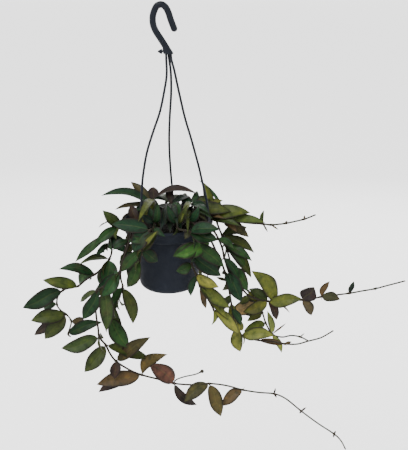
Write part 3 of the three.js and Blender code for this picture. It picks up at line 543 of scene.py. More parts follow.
def swept(rings: Array, start: Array, end: Array) -> Shell:
    """A closed skin over rings of points.

    Each ring is joined to the next by a band of quads, and the first and last ring are closed by fans of
    triangles to one point each.

    Args:
        rings: Points in the shape (ring, place in the ring, 3).
        start: The point that closes the first ring.
        end: The point that closes the last ring.

    Returns:
        The shell.
    """
    count, size = rings.shape[:2]
    loop, after = np.arange(size), (np.arange(size) + 1) % size
    band = np.arange(count - 1)[:, None] * size
    low, turn = (band + loop).ravel(), (band + after).ravel()
    quads = np.stack([low, turn, turn + size, low + size], axis=1)
    first, last, top = count * size, count * size + 1, (count - 1) * size
    fans = np.vstack([
        np.stack([np.full(size, first), after, loop], axis=1),
        np.stack([np.full(size, last), top + loop, top + after], axis=1),
    ])
    return Shell(np.vstack([rings.reshape(-1, 3), start, end]), quads, fans)


def turned(outline: Array, sides: int) -> Shell:
    """A body of revolution: each (radius, height) goes round Z as a ring, and each end is a point on Z.

    Args:
        outline: The pairs in order, the first and the last at radius 0.
        sides: Points in a ring.

    Returns:
        The shell.
    """
    inner = outline[1:-1]
    rings = rings_round_z(inner[:, 0], inner[:, 1], sides)
    return swept(rings, np.array([0, 0, outline[0, 1]]), np.array([0, 0, outline[-1, 1]]))


def line_frames(points: Array, nearly_along: float = 0.9) -> tuple[Array, Array, Array]:
    """Direction and two cross directions at each point of a line, turning as little as they can.

    The first cross direction is carried from point to point with its part along the line taken out.

    Args:
        points: The line's points.
        nearly_along: From this share of its direction on, a line counts as one along Y.

    Returns:
        The directions, the first and the second cross directions.
    """
    direction = unit(np.gradient(points, axis=0))
    first = np.empty_like(direction)
    along_y = abs(direction[0, 1]) >= nearly_along
    seed = np.array([1.0, 0.0, 0.0] if along_y else [0.0, 1.0, 0.0])
    for k, ahead in enumerate(direction):
        seed = unit(seed - (seed @ ahead) * ahead)
        first[k] = seed
    return direction, first, np.cross(direction, first)


def tube(
    points: Array, radius: Array | float, sides: int, cap_reach: float = 0.8, tip_reach: float = 0.85
) -> Shell:
    """A round rod along a line, with rounded ends.

    A ring of the radius stands square to the line at each point, and two smaller rings at each end follow a
    quarter circle.

    Args:
        points: The line's points.
        radius: Its radius, one value or one for each point.
        sides: Points in a ring.
        cap_reach: How far the small rings stand out at an end, as a share of a full quarter circle.
        tip_reach: How far the point of an end stands out, as a share of the radius.

    Returns:
        The shell, with the layer "run" from 0 at its start to 1 at its end.
    """
    radius = np.broadcast_to(np.asarray(radius, float), (len(points),)).copy()
    direction, first, second = line_frames(points)
    cap = np.array([0.35, 0.75])
    start = points[0] - direction[0] * radius[0] * np.sqrt(1 - cap**2)[:, None] * cap_reach
    end = points[-1] + direction[-1] * radius[-1] * np.sqrt(1 - cap[::-1] ** 2)[:, None] * cap_reach
    line = np.vstack([start, points, end])
    radii = np.concatenate([radius[0] * cap, radius, radius[-1] * cap[::-1]])
    first, second = (np.pad(cross, ((2, 2), (0, 0)), mode="edge")[:, None] for cross in (first, second))
    angle = full_turn(sides)[None, :, None]
    ring = np.cos(angle) * first + np.sin(angle) * second
    rings = line[:, None] + radii[:, None, None] * ring
    first_tip = points[0] - direction[0] * radius[0] * tip_reach
    last_tip = points[-1] + direction[-1] * radius[-1] * tip_reach
    length = along_curve(line)
    run = np.concatenate([np.repeat(length / length[-1], sides), [0, 1]])
    return swept(rings, first_tip, last_tip).with_layer("run", run)


def gathered(shells: list[Shell]) -> Shell:
    """Several shells as one, with their layers.

    Args:
        shells: The shells, which all have the same layers.

    Returns:
        The shell of them all.
    """
    starts = np.cumsum([0] + [len(shell.points) for shell in shells[:-1]])
    return Shell(
        np.vstack([shell.points for shell in shells]),
        np.vstack([shell.quads + at for shell, at in zip(shells, starts)]),
        np.vstack([shell.triangles + at for shell, at in zip(shells, starts)]),
        {name: np.concatenate([shell.layers[name] for shell in shells]) for name in shells[0].layers},
    )


def placed(name: str, data: bpy.types.ID) -> bpy.types.Object:
    """Puts a new object into the scene.

    Args:
        name: The object's name.
        data: Its mesh, lamp or camera.

    Returns:
        The object.
    """
    thing = bpy.data.objects.new(name, data)
    bpy.context.scene.collection.objects.link(thing)
    return thing


def shell_object(name: str, shell: Shell, material: bpy.types.Material, offset: Array) -> bpy.types.Object:
    """A smooth mesh object of a shell, in metres in the row frame.

    Args:
        name: The object's name.
        shell: Its surface in millimetres.
        material: Its material.
        offset: Where the shell's own origin is in the row frame, in millimetres.

    Returns:
        The object, at the origin, with its place in its mesh.
    """
    mesh = bpy.data.meshes.new(name)
    points = ((shell.points + offset) * MM).astype(np.float32)
    corners = np.concatenate([shell.quads.ravel(), shell.triangles.ravel()]).astype(np.int32)
    sizes = np.repeat([4, 3], [len(shell.quads), len(shell.triangles)]).astype(np.int32)
    mesh.vertices.add(len(points))
    mesh.vertices.foreach_set("co", points.ravel())
    mesh.loops.add(len(corners))
    mesh.loops.foreach_set("vertex_index", corners)
    mesh.polygons.add(len(sizes))
    mesh.polygons.foreach_set("loop_start", (np.cumsum(sizes) - sizes).astype(np.int32))
    mesh.polygons.foreach_set("loop_total", sizes)
    mesh.polygons.foreach_set("use_smooth", np.ones(len(sizes), bool))
    for layer, values in shell.layers.items():
        is_colour = values.ndim == 2
        attribute = mesh.attributes.new(layer, "FLOAT_COLOR" if is_colour else "FLOAT", "POINT")
        if is_colour:
            values = np.concatenate([values, np.ones((len(values), 1))], axis=1)
        attribute.data.foreach_set("color" if is_colour else "value", values.astype(np.float32).ravel())
    mesh.update(calc_edges=True)
    mesh.validate()
    mesh.materials.append(material)
    return placed(name, mesh)


def on_root(piece: bpy.types.Object) -> bpy.types.Object:
    """Lets a finished piece ride on the one body and reports it.

    Args:
        piece: The piece.

    Returns:
        The same piece.
    """
    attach(piece, ROOT_BODY)
    log.info("%s: %d points, %d faces", piece.name, len(piece.data.vertices), len(piece.data.polygons))
    return piece


def make_piece(
    name: str, shell: Shell, material: bpy.types.Material, offset: Array = RIM_CENTRE
) -> bpy.types.Object:
    """A piece of the plant from a shell whose origin is the offset, the rim's centre if none is given."""
    return on_root(shell_object(name, shell, material, offset))


def apply_modifiers(piece: bpy.types.Object) -> None:
    """Makes the piece's modifiers part of its mesh.

    Args:
        piece: The piece.
    """
    evaluated = piece.evaluated_get(bpy.context.evaluated_depsgraph_get())
    mesh = bpy.data.meshes.new_from_object(evaluated)
    piece.modifiers.clear()
    piece.data = mesh


class Graph:
    """Short ways to build a material's nodes."""

    def __init__(self, name: str) -> None:
        """Makes an empty material with a Principled shader joined to its output.

        Args:
            name: The material's name.
        """
        self.material = bpy.data.materials.new(name)
        self.material.use_nodes = True
        self.tree = self.material.node_tree
        self.tree.nodes.clear()
        output = self.tree.nodes.new("ShaderNodeOutputMaterial")
        self.shader = self.tree.nodes.new("ShaderNodeBsdfPrincipled")
        self.tree.links.new(self.shader.outputs[0], output.inputs[0])
        self.place = self.tree.nodes.new("ShaderNodeTexCoord").outputs["Object"]

    def feed(self, socket: Socket, value: object) -> None:
        """Links an output to a socket, or sets the socket's own value.

        Args:
            socket: The socket that takes it.
            value: An output, a number or a colour.
        """
        if isinstance(value, Socket):
            self.tree.links.new(value, socket)
        elif isinstance(value, tuple) and len(value) == 3 and len(socket.default_value) == 4:
            socket.default_value = (*value, 1.0)
        else:
            socket.default_value = value

    def node(self, kind: str, **values: object) -> bpy.types.Node:
        """Adds a node.

        Args:
            kind: Its type, without the ShaderNode that it begins with.
            **values: What its sockets take, by their names.

        Returns:
            The node.
        """
        node = self.tree.nodes.new(f"ShaderNode{kind}")
        for name, value in values.items():
            self.feed(node.inputs[name], value)
        return node

    def set(self, **values: object) -> None:
        """Sets or links sockets of the shader, with spaces in their names written as underlines."""
        for name, value in values.items():
            self.feed(self.shader.inputs[name.replace("_", " ")], value)

    def layer(self, name: str, colour: bool = False) -> Socket:
        """Reads a layer of the mesh.

        Args:
            name: The layer's name.
            colour: Whether it holds colours and not numbers.

        Returns:
            The output with the layer.
        """
        node = self.node("Attribute")
        node.attribute_name = name
        return node.outputs["Color" if colour else "Fac"]

    def math(self, operation: str, *values: object) -> Socket:
        """Adds a Math node.

        Args:
            operation: What it works out.
            *values: Its numbers or outputs, in order.

        Returns:
            The output with the result.
        """
        node = self.node("Math")
        node.operation = operation
        for socket, value in zip(node.inputs, values):
            self.feed(socket, value)
        return node.outputs[0]

    def plus(self, first: object, second: object) -> Socket:
        """The sum of two numbers."""
        return self.math("ADD", first, second)

    def times(self, first: object, second: object) -> Socket:
        """The product of two numbers."""
        return self.math("MULTIPLY", first, second)

    def noise(self, scale: float, detail: float = 3.0, roughness: float = 0.5) -> Socket:
        """Smooth noise over the object's own coordinates.

        Args:
            scale: How many times it changes in a metre.
            detail: How many finer layers it has.
            roughness: How strong the finer layers are.

        Returns:
            The output with the noise, from 0 to 1.
        """
        return self.node(
            "TexNoise", Vector=self.place, Scale=scale, Detail=detail, Roughness=roughness
        ).outputs["Fac"]

    def cells(self, scale: float) -> Socket:
        """Distance to the middle of the nearest of many small cells."""
        return self.node("TexVoronoi", Vector=self.place, Scale=scale).outputs["Distance"]

    def ease(self, value: object, low: float, high: float, to_low: float = 0, to_high: float = 1) -> Socket:
        """A value's way between two numbers, eased at both ends.

        Args:
            value: The value.
            low: Where the way begins.
            high: Where it ends.
            to_low: What stands for its beginning.
            to_high: What stands for its end.

        Returns:
            The output with the result, from to_low to to_high.
        """
        node = self.node("MapRange")
        node.interpolation_type = "SMOOTHSTEP"
        for socket, number in zip(node.inputs, (value, low, high, to_low, to_high)):
            self.feed(socket, number)
        return node.outputs[0]

    def patches(self, scale: float, detail: float, low: float, high: float, most: float) -> Socket:
        """Noise as patches: 0 where it is under low, and the most where it is over high."""
        return self.ease(self.noise(scale, detail), low, high, to_high=most)

    def mix(self, share: object, first: object, second: object, blend: str = "MIX") -> Socket:
        """Mixes two colours.

        Args:
            share: How much of the second there is.
            first: The first colour.
            second: The second colour.
            blend: How the second lies on the first.

        Returns:
            The output with the mixed colour.
        """
        node = self.node("Mix")
        node.data_type = "RGBA"
        node.blend_type = blend
        self.feed(node.inputs["Factor"], share)
        self.feed(node.inputs[6], first)
        self.feed(node.inputs[7], second)
        return node.outputs[2]

    def bump(self, height: object, strength: float, distance: float) -> None:
        """Feeds a height to the shader's normal, in metres of distance."""
        self.set(Normal=self.node("Bump", Height=height, Strength=strength, Distance=distance).outputs[0])


@dataclass(frozen=True)
class LeafFinish:
    """A waxy leaf: mottled tone with painted shade towards its edges, a dark rim, a pale midrib, faint side
    veins and a paler underside.
    """

    rim: Colour = (0.0075, 0.0050, 0.0040)
    midrib: Colour = (0.040, 0.046, 0.012)
    underside: Colour = (0.038, 0.040, 0.014)
    blush: Colour = (0.034, 0.012, 0.008)
    # Multiplier of the painted shade that darkens each blade towards its edges.
    edge_shade_tint: Colour = (0.35, 0.42, 0.45)
    dark_tint: Colour = (0.4, 0.48, 0.5)
    light_tint: Colour = (2.4, 2.1, 1.3)
    roughness: float = 0.5
    side_veins: float = 9.0
    vein_slant: float = -2.6

    def build(self) -> bpy.types.Material:
        """Makes the material.

        The layers across (-1 to 1) and along (0 to 1) give the place on the blade, under is 1 on the lower
        face, and tone is the leaf's own colour.

        Returns:
            The material of all blades.
        """
        graph = Graph("waxy_leaf")
        across = graph.math("ABSOLUTE", graph.layer("across"))
        along = graph.layer("along")
        vein = self.vein(graph, across, along)
        colour = self.mottled(graph, across)
        colour = graph.mix(graph.times(vein, 0.16), colour, self.midrib)
        colour = graph.mix(graph.ease(across, 0.02, 0.1, to_low=0.22, to_high=0.0), colour, self.midrib)
        colour = graph.mix(graph.times(graph.layer("under"), 0.45), colour, self.underside)
        edge = graph.plus(across, graph.times(graph.noise(scale=240, detail=2), 0.1))
        colour = graph.mix(graph.ease(edge, 0.78, 0.98, to_high=0.9), colour, self.rim)
        colour = graph.mix(graph.ease(along, 0.9, 1.0, to_high=0.6), colour, self.rim)
        low, high = self.roughness - 0.07, self.roughness + 0.1
        rough = graph.ease(graph.noise(scale=120), 0.3, 0.7, low, high)
        graph.set(Base_Color=colour, Roughness=rough, Specular_IOR_Level=0.08)
        relief = graph.plus(graph.times(vein, -0.35), graph.times(graph.noise(scale=420, detail=4), 0.6))
        graph.bump(relief, strength=0.35, distance=0.0006)
        return graph.material

    def vein(self, graph: Graph, across: Socket, along: Socket) -> Socket:
        """The side veins: 1 where the sine of a slanting way along the blade is near 0.

        Args:
            graph: The material's nodes.
            across: How far a place is from the midrib, from 0 to 1.
            along: How far along the blade it is, from 0 to 1.

        Returns:
            The output with the veins.
        """
        way = graph.plus(graph.times(along, self.side_veins), graph.times(across, self.vein_slant))
        wave = graph.math("ABSOLUTE", graph.math("SINE", graph.times(way, math.pi)))
        return graph.ease(wave, 0.0, 0.16, to_low=1.0, to_high=0.0)

    def mottled(self, graph: Graph, across: Socket) -> Socket:
        """The leaf's tone, darkened towards its edges as painted shade, with dark, light and blushed patches.

        Args:
            graph: The material's nodes.
            across: How far a place is from the midrib, from 0 to 1.

        Returns:
            The output with the colour.
        """
        plain = graph.layer("tone", colour=True)
        # Painted shade: from about a third of the way out to the edges, the tone is darkened towards this
        # dimmed copy.
        dim = graph.mix(1.0, plain, self.edge_shade_tint, "MULTIPLY")
        tone = graph.mix(graph.ease(across, 0.35, 0.95, to_high=0.75), plain, dim)
        patches = graph.noise(scale=95, detail=4, roughness=0.6)
        dark = graph.mix(graph.ease(patches, 0.5, 0.3, to_high=0.9), tone, self.dark_tint, "MULTIPLY")
        bright = graph.mix(1.0, tone, self.light_tint, "MULTIPLY")
        light = graph.mix(graph.ease(patches, 0.5, 0.74, to_high=0.5), dark, bright)
        return graph.mix(graph.patches(38, 2, 0.54, 0.74, most=0.2), light, self.blush)


@dataclass(frozen=True)
class StemFinish:
    """A thin stem: browner near the root and a little greener towards the growing tip, with purple patches
    and corky flecks all along.
    """

    old: Colour = (0.0110, 0.0088, 0.0060)
    young: Colour = (0.0140, 0.0120, 0.0068)
    purple: Colour = (0.0140, 0.0070, 0.0068)
    cork: Colour = (0.035, 0.028, 0.022)

    def build(self) -> bpy.types.Material:
        """Makes the material; the layer run is the share of the way along the stem.

        Returns:
            The material of stems, stalks and roots.
        """
        graph = Graph("vine_stem")
        base = graph.mix(graph.ease(graph.layer("run"), 0.1, 0.9), self.old, self.young)
        tinted = graph.mix(graph.patches(60, 3, 0.5, 0.7, most=0.6), base, self.purple)
        flecked = graph.mix(graph.patches(900, 2, 0.6, 0.72, most=0.5), tinted, self.cork)
        graph.set(Base_Color=flecked, Roughness=0.62, Specular_IOR_Level=0.07)
        graph.bump(graph.noise(scale=700, detail=4, roughness=0.6), strength=0.5, distance=0.0005)
        return graph.material


@dataclass(frozen=True)
class PlasticFinish:
    """Moulded plastic: a base colour with faint clouding, drifts and specks of dust and a fine skin."""

    name: str
    colour: Colour
    dust: Colour
    roughness: float
    dust_share: float
    cloud_gain: float = 1.35

    def build(self) -> bpy.types.Material:
        """Makes the material.

        Returns:
            The material of the mouldings in this plastic.
        """
        graph = Graph(self.name)
        cloud = tuple(self.cloud_gain * part for part in self.colour)
        clouds = graph.mix(graph.patches(22, 3, 0.3, 0.75, most=0.6), self.colour, cloud)
        drifts = graph.ease(graph.noise(scale=55, detail=5, roughness=0.65), 0.5, 0.8)
        dust = graph.times(drifts, self.dust_share)
        specks = graph.patches(1500, 2, 0.66, 0.74, most=0.25)
        dusty = graph.mix(graph.math("MAXIMUM", dust, specks), clouds, self.dust)
        low, high = self.roughness - 0.06, self.roughness + 0.1
        rough = graph.ease(graph.noise(scale=80, detail=4), 0.3, 0.7, low, high)
        graph.set(Base_Color=dusty, Roughness=rough, Specular_IOR_Level=0.07)
        graph.bump(graph.noise(scale=1300), strength=0.25, distance=0.0002)
        return graph.material


@dataclass(frozen=True)
class SoilFinish:
    """Dark crumbly potting soil, darker still in the low places of its grain as painted shade; the layer tone
    gives crumbs, bark and grit their own colours.
    """

    # Colour of the painted shade in the soil's hollows.
    hollow_shade: Colour = (0.0035, 0.0026, 0.0022)
    fleck: Colour = (0.022, 0.015, 0.011)

    def build(self) -> bpy.types.Material:
        """Makes the material.

        Returns:
            The material of the bed and its crumbs.
        """
        graph = Graph("potting_soil")
        grain = graph.noise(scale=520, detail=5, roughness=0.7)
        # Painted shade: where the grain is low, which the bump sinks, the colour goes towards the hollow
        # colour.
        hollow_shade_share = graph.ease(grain, 0.35, 0.65, to_low=0.7, to_high=0.0)
        dark = graph.mix(hollow_shade_share, graph.layer("tone", colour=True), self.hollow_shade)
        flecks = graph.mix(graph.patches(1400, 2, 0.62, 0.7, most=0.6), dark, self.fleck)
        graph.set(Base_Color=flecks, Roughness=0.93, Specular_IOR_Level=0.2)
        graph.bump(graph.plus(grain, graph.times(graph.cells(900), 0.6)), strength=0.9, distance=0.001)
        return graph.material


HANGER_PLASTIC = PlasticFinish(
    "hanger_black_plastic", colour=(0.0045, 0.0055, 0.0080), dust=(0.022, 0.025, 0.031),
    roughness=0.45, dust_share=0.2,
)
CLIP_PLASTIC = PlasticFinish(
    "clip_grey_plastic", colour=(0.016, 0.017, 0.019), dust=(0.06, 0.06, 0.06), roughness=0.5, dust_share=0.3,
)
POT_PLASTIC = PlasticFinish(
    "pot_blue_grey_plastic", colour=(0.0056, 0.0070, 0.0104), dust=(0.0218, 0.0250, 0.0325),
    roughness=0.7, dust_share=0.2,
)


@dataclass
class Hanger:
    """The hook with its flared foot and lug, the three strands and the clips on the rim."""

    rod_radius: float = 5.3
    rod_step: float = 1.2
    rod_sides: int = 28
    hook_route: Outline = (
        (19.9, -33.2), (14.8, -19.7), (10.8, -7.3), (6.2, 1.1), (0, 5), (-7.1, 2.7), (-11.1, -4.2),
        (-13.6, -12), (-14.1, -19.7), (-13.1, -27.5), (-9.3, -36.8), (-2.8, -46.8), (3, -56), (7.6, -63.6),
    )
    foot_centre_x: float = 10.4
    foot_bottom: float = -72.4
    foot_outline: Outline = (
        (0, 0), (3, 0), (6.9, 0), (7.6, 0.4), (8.0, 1.3), (8.1, 2.2), (7.8, 4), (7.2, 6.5), (6.1, 10),
        (5.5, 12.4), (5, 14.6), (4.2, 16), (0, 16),
    )
    foot_lean: float = -0.36
    foot_sides: int = 48
    lug_outline: Outline = (
        (5, -67), (0.6, -67), (0, -64.6), (-2.2, -64.8), (-6.9, -67.6), (-6.9, -69), (-1.6, -72.4),
        (0, -71.8), (0.6, -69.6), (5, -69.6),
    )
    lug_thickness: float = 2.4
    lug_edge: float = 0.3
    lug_edge_share: float = 0.9
    strand_radius: float = 1.95
    strand_step: float = 2.5
    strand_sides: int = 12
    curve_samples: int = 12
    socket_circle_radius: float = 4.1
    socket_depth: float = 4.0
    socket_gap: float = 0.5
    clip_width: float = 11.0
    clip_neck_top: float = 15.0
    clip_eye_radius: float = 74.0
    clip_edge: float = 0.45
    clip_edge_steps: int = 3
    clip_outline: Outline = (
        (68.4, -7), (70.2, -7), (71.2, 0.9), (76.4, 0.9), (76.4, -4.6), (75.1, -5), (75.4, -6.8), (78.4, -6),
        (78.4, 2.6), (76.4, 4.4), (76.2, 15), (71.8, 15), (71.6, 4.4), (68.8, 2.6),
    )

    def build(self) -> None:
        """Makes the hook, the strands and the clips."""
        black, grey = HANGER_PLASTIC.build(), CLIP_PLASTIC.build()
        moulding = gathered([self.rod(), self.foot(), self.lug()])
        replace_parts(make_piece("hook_moulding", moulding, black, ROW_ORIGIN), "hook")
        for strand in STRANDS:
            line = tube(self.strand_line(strand), self.strand_radius, self.strand_sides)
            piece = make_piece(f"hanger_strand_{strand.name}", line, black, ROW_ORIGIN)
            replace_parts(piece, f"strand_{strand.name}")
            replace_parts(self.clip(strand, grey), f"rim_clip_{strand.name}")

    def rod(self) -> Shell:
        """The bent rod: a round tube along the smooth curve through the points of its route.

        Returns:
            The shell, in the row frame.
        """
        route = np.array([(x, 0, z) for x, z in self.hook_route])
        line = respaced(smooth_curve(route, self.curve_samples), self.rod_step)
        return tube(line, self.rod_radius, self.rod_sides)

    def foot(self) -> Shell:
        """The flared foot: a body of revolution whose axis moves left by the lean for each mm of height.

        Returns:
            The shell, in the row frame.
        """
        foot = turned(np.array(self.foot_outline), self.foot_sides)
        foot.points[:, 0] += self.foot_centre_x + self.foot_lean * foot.points[:, 2]
        foot.points[:, 2] += self.foot_bottom
        return foot.with_layer("run", 0.9)

    def lug(self) -> Shell:
        """The barbed lug: its outline as four rings through its thickness, the outer two a little smaller.

        Returns:
            The shell, in the row frame.
        """
        outline = np.array(self.lug_outline)
        middle = outline.mean(axis=0)
        half, small = self.lug_thickness / 2, self.lug_edge_share
        rings = []
        for y, scale in ((half, small), (half - self.lug_edge, 1), (self.lug_edge - half, 1), (-half, small)):
            x, z = (middle + (outline - middle) * scale).T
            rings.append(np.stack([x, np.full(len(outline), y), z], axis=1))
        ends = [np.array([middle[0], y, middle[1]]) for y in (half, -half)]
        return swept(np.array(rings), *ends).with_layer("run", 0.9)

    def strand_line(self, strand: Strand) -> Array:
        """The line of a strand from its socket in the foot to its socket in the clip.

        Args:
            strand: The strand.

        Returns:
            The line's points in the row frame, one a row.
        """
        top = polar(self.socket_circle_radius, strand.foot_angle, self.foot_bottom)
        top += (self.foot_centre_x, 0, 0)
        eye = polar(self.clip_eye_radius, strand.rim_angle, self.clip_neck_top) + RIM_CENTRE
        inside = np.array([0, 0, self.socket_depth - self.socket_gap])
        down, out, right = np.array(strand.course).T[:, :, None]
        course = top + (eye - top) * np.hstack([out, out, down]) + right * np.array([1, 0, 0])
        line = np.vstack([top + inside, course, eye - inside])
        return respaced(smooth_curve(line, self.curve_samples), self.strand_step)

    def clip(self, strand: Strand, material: bpy.types.Material) -> bpy.types.Object:
        """A clip: its outline pushed out to both sides and turned to its place, with bevelled edges.

        Args:
            strand: The strand that it holds.
            material: Its material.

        Returns:
            The finished piece.
        """
        outline = np.array(self.clip_outline)
        half = self.clip_width / 2
        out, across = polar(1, strand.rim_angle, 0), polar(1, strand.rim_angle + 90, 0)
        flat = outline[:, :1] * out + outline[:, 1:] * np.array([0, 0, 1])
        mesh = bpy.data.meshes.new(f"rim_clip_{strand.name}")
        count = len(outline)
        points = np.vstack([flat - across * half, flat + across * half])
        sides = [(k, (k + 1) % count, (k + 1) % count + count, k + count) for k in range(count)]
        faces = [tuple(range(count))[::-1], tuple(range(count, 2 * count)), *sides]
        mesh.from_pydata(((points + RIM_CENTRE) * MM).tolist(), [], faces)
        mesh.materials.append(material)
        piece = placed(f"rim_clip_moulding_{strand.name}", mesh)
        bevel = piece.modifiers.new("edges", "BEVEL")
        bevel.width = self.clip_edge * MM
        bevel.segments = self.clip_edge_steps
        bevel.limit_method = "ANGLE"
        apply_modifiers(piece)
        return on_root(piece)


@dataclass
class Pot:
    """The tapered pot with its step, collar, bead and drain holes."""

    height: float = 120.0
    wall: float = 2.0
    rim_top: float = 0.5
    bead_radius: float = 76.0
    bead_bottom: float = -4.2
    bead_round: float = 1.3
    collar_top_radius: float = 74.3
    collar_bottom_radius: float = 73.0
    collar_bottom: float = -19.5
    body_top_radius: float = 62.0
    body_top: float = -21.0
    body_low_radius: float = 50.0
    body_low: float = -107.0
    body_rings: int = 8
    floor_ring: float = 20.0
    foot_ring_inner: float = 32.0
    foot_ring_outer: float = 37.0
    foot_ring_height: float = 1.5
    foot_ring_slope: float = 1.8
    drain_holes: int = 4
    drain_hole_radius: float = 4.0
    drain_circle_radius: float = 22.0
    drain_hole_sides: int = 24
    cutter_reach: Pair = (-4.0, 6.0)
    sides: int = 128

    def inside(self, inset: float) -> Array:
        """The inner wall from the axis at the floor up to the top of the step.

        Args:
            inset: How far inside the wall the line stays.

        Returns:
            The (radius, height) pairs, one a row.
        """
        low = self.body_low_radius - self.wall
        corner = self.body_low_radius - self.foot_ring_outer - self.wall - self.foot_ring_height
        round_corner = arc((low - corner, self.body_low), (corner - inset,) * 2, (-np.pi / 2, 0), 9)
        floor = [(radius, self.body_low - corner + inset) for radius in (0, self.floor_ring)]
        top = [
            (self.body_top_radius - self.wall - inset, self.body_top + self.wall + inset),
            (self.collar_bottom_radius - self.wall - inset, self.collar_bottom + self.wall + inset),
        ]
        return np.vstack([floor, round_corner, top])

    def outline(self) -> Array:
        """The whole wall: under the base, up the outside, over the bead and down the inside.

        Returns:
            The (radius, height) pairs, one a row.
        """
        corner = self.body_low_radius - self.foot_ring_outer
        round_corner = arc((self.foot_ring_outer, self.body_low), (corner, corner), (-np.pi / 2, 0), 12)
        base = -self.height + self.foot_ring_height
        slope_start = self.foot_ring_inner - self.foot_ring_slope
        under = [(0, base), (10, base), (slope_start, base), (self.foot_ring_inner, -self.height)]
        share = np.linspace(0.08, 0.96, self.body_rings)[:, None]
        low, high = np.array([[self.body_low_radius, self.body_low], [self.body_top_radius, self.body_top]])
        body = low + (high - low) * share
        middle = (self.bead_radius + self.collar_top_radius - self.wall) / 2
        half = (self.bead_radius - self.collar_top_radius + self.wall) / 2
        bead = arc((middle, self.rim_top - self.bead_round), (half, self.bead_round), (0, np.pi), 9)
        step = [
            (self.body_top_radius, self.body_top - 0.8),
            (self.body_top_radius + 0.7, self.body_top),
            (self.collar_bottom_radius - 1.0, self.collar_bottom - 0.1),
            (self.collar_bottom_radius, self.collar_bottom + 0.9),
            (self.collar_bottom_radius + 0.5, self.collar_bottom + 5),
            (self.collar_top_radius - 0.1, self.bead_bottom - 1.2),
            (self.collar_top_radius + 0.5, self.bead_bottom - 0.5),
            (self.bead_radius - 0.3, self.bead_bottom),
            (self.bead_radius, self.bead_bottom + 0.5),
        ]
        return np.vstack([under, round_corner, body, step, bead, self.inside(0)[::-1]])

    def build(self) -> None:
        """Makes the pot and cuts its drain holes."""
        material = POT_PLASTIC.build()
        pot = make_piece("pot_moulding", turned(self.outline(), self.sides), material)
        low, high = (reach - self.height for reach in self.cutter_reach)
        radius = self.drain_hole_radius
        column = turned(np.array([(0, low), (radius, low), (radius, high), (0, high)]), self.drain_hole_sides)
        cutters = []
        for k in range(self.drain_holes):
            at = RIM_CENTRE + polar(self.drain_circle_radius, 360 * (k + 0.5) / self.drain_holes, 0)
            cutters.append(shell_object(f"cutter_{k}", column, material, at))
        for cutter in cutters:
            cut = pot.modifiers.new(cutter.name, "BOOLEAN")
            cut.operation = "DIFFERENCE"
            cut.solver = "EXACT"
            cut.object = cutter
        apply_modifiers(pot)
        for cutter in cutters:
            bpy.data.objects.remove(cutter)
        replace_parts(pot, "pot")


@dataclass(frozen=True)
class Bit:
    """A kind of loose bit on the soil: its share of them all, its least and greatest size, and its tone."""

    share: float
    sizes: Pair
    tone: Colour


BARK = Bit(0.16, (1.2, 2.6), (0.016, 0.010, 0.006))
GRIT = Bit(0.05, (0.6, 1.2), (0.09, 0.085, 0.075))
# The crumbs' near-black tone is partly the soil's own dark colour and partly painted shade for the shade
# inside the pot.
CRUMB = Bit(0.79, (0.6, 1.7), (0.0052, 0.0046, 0.0030))


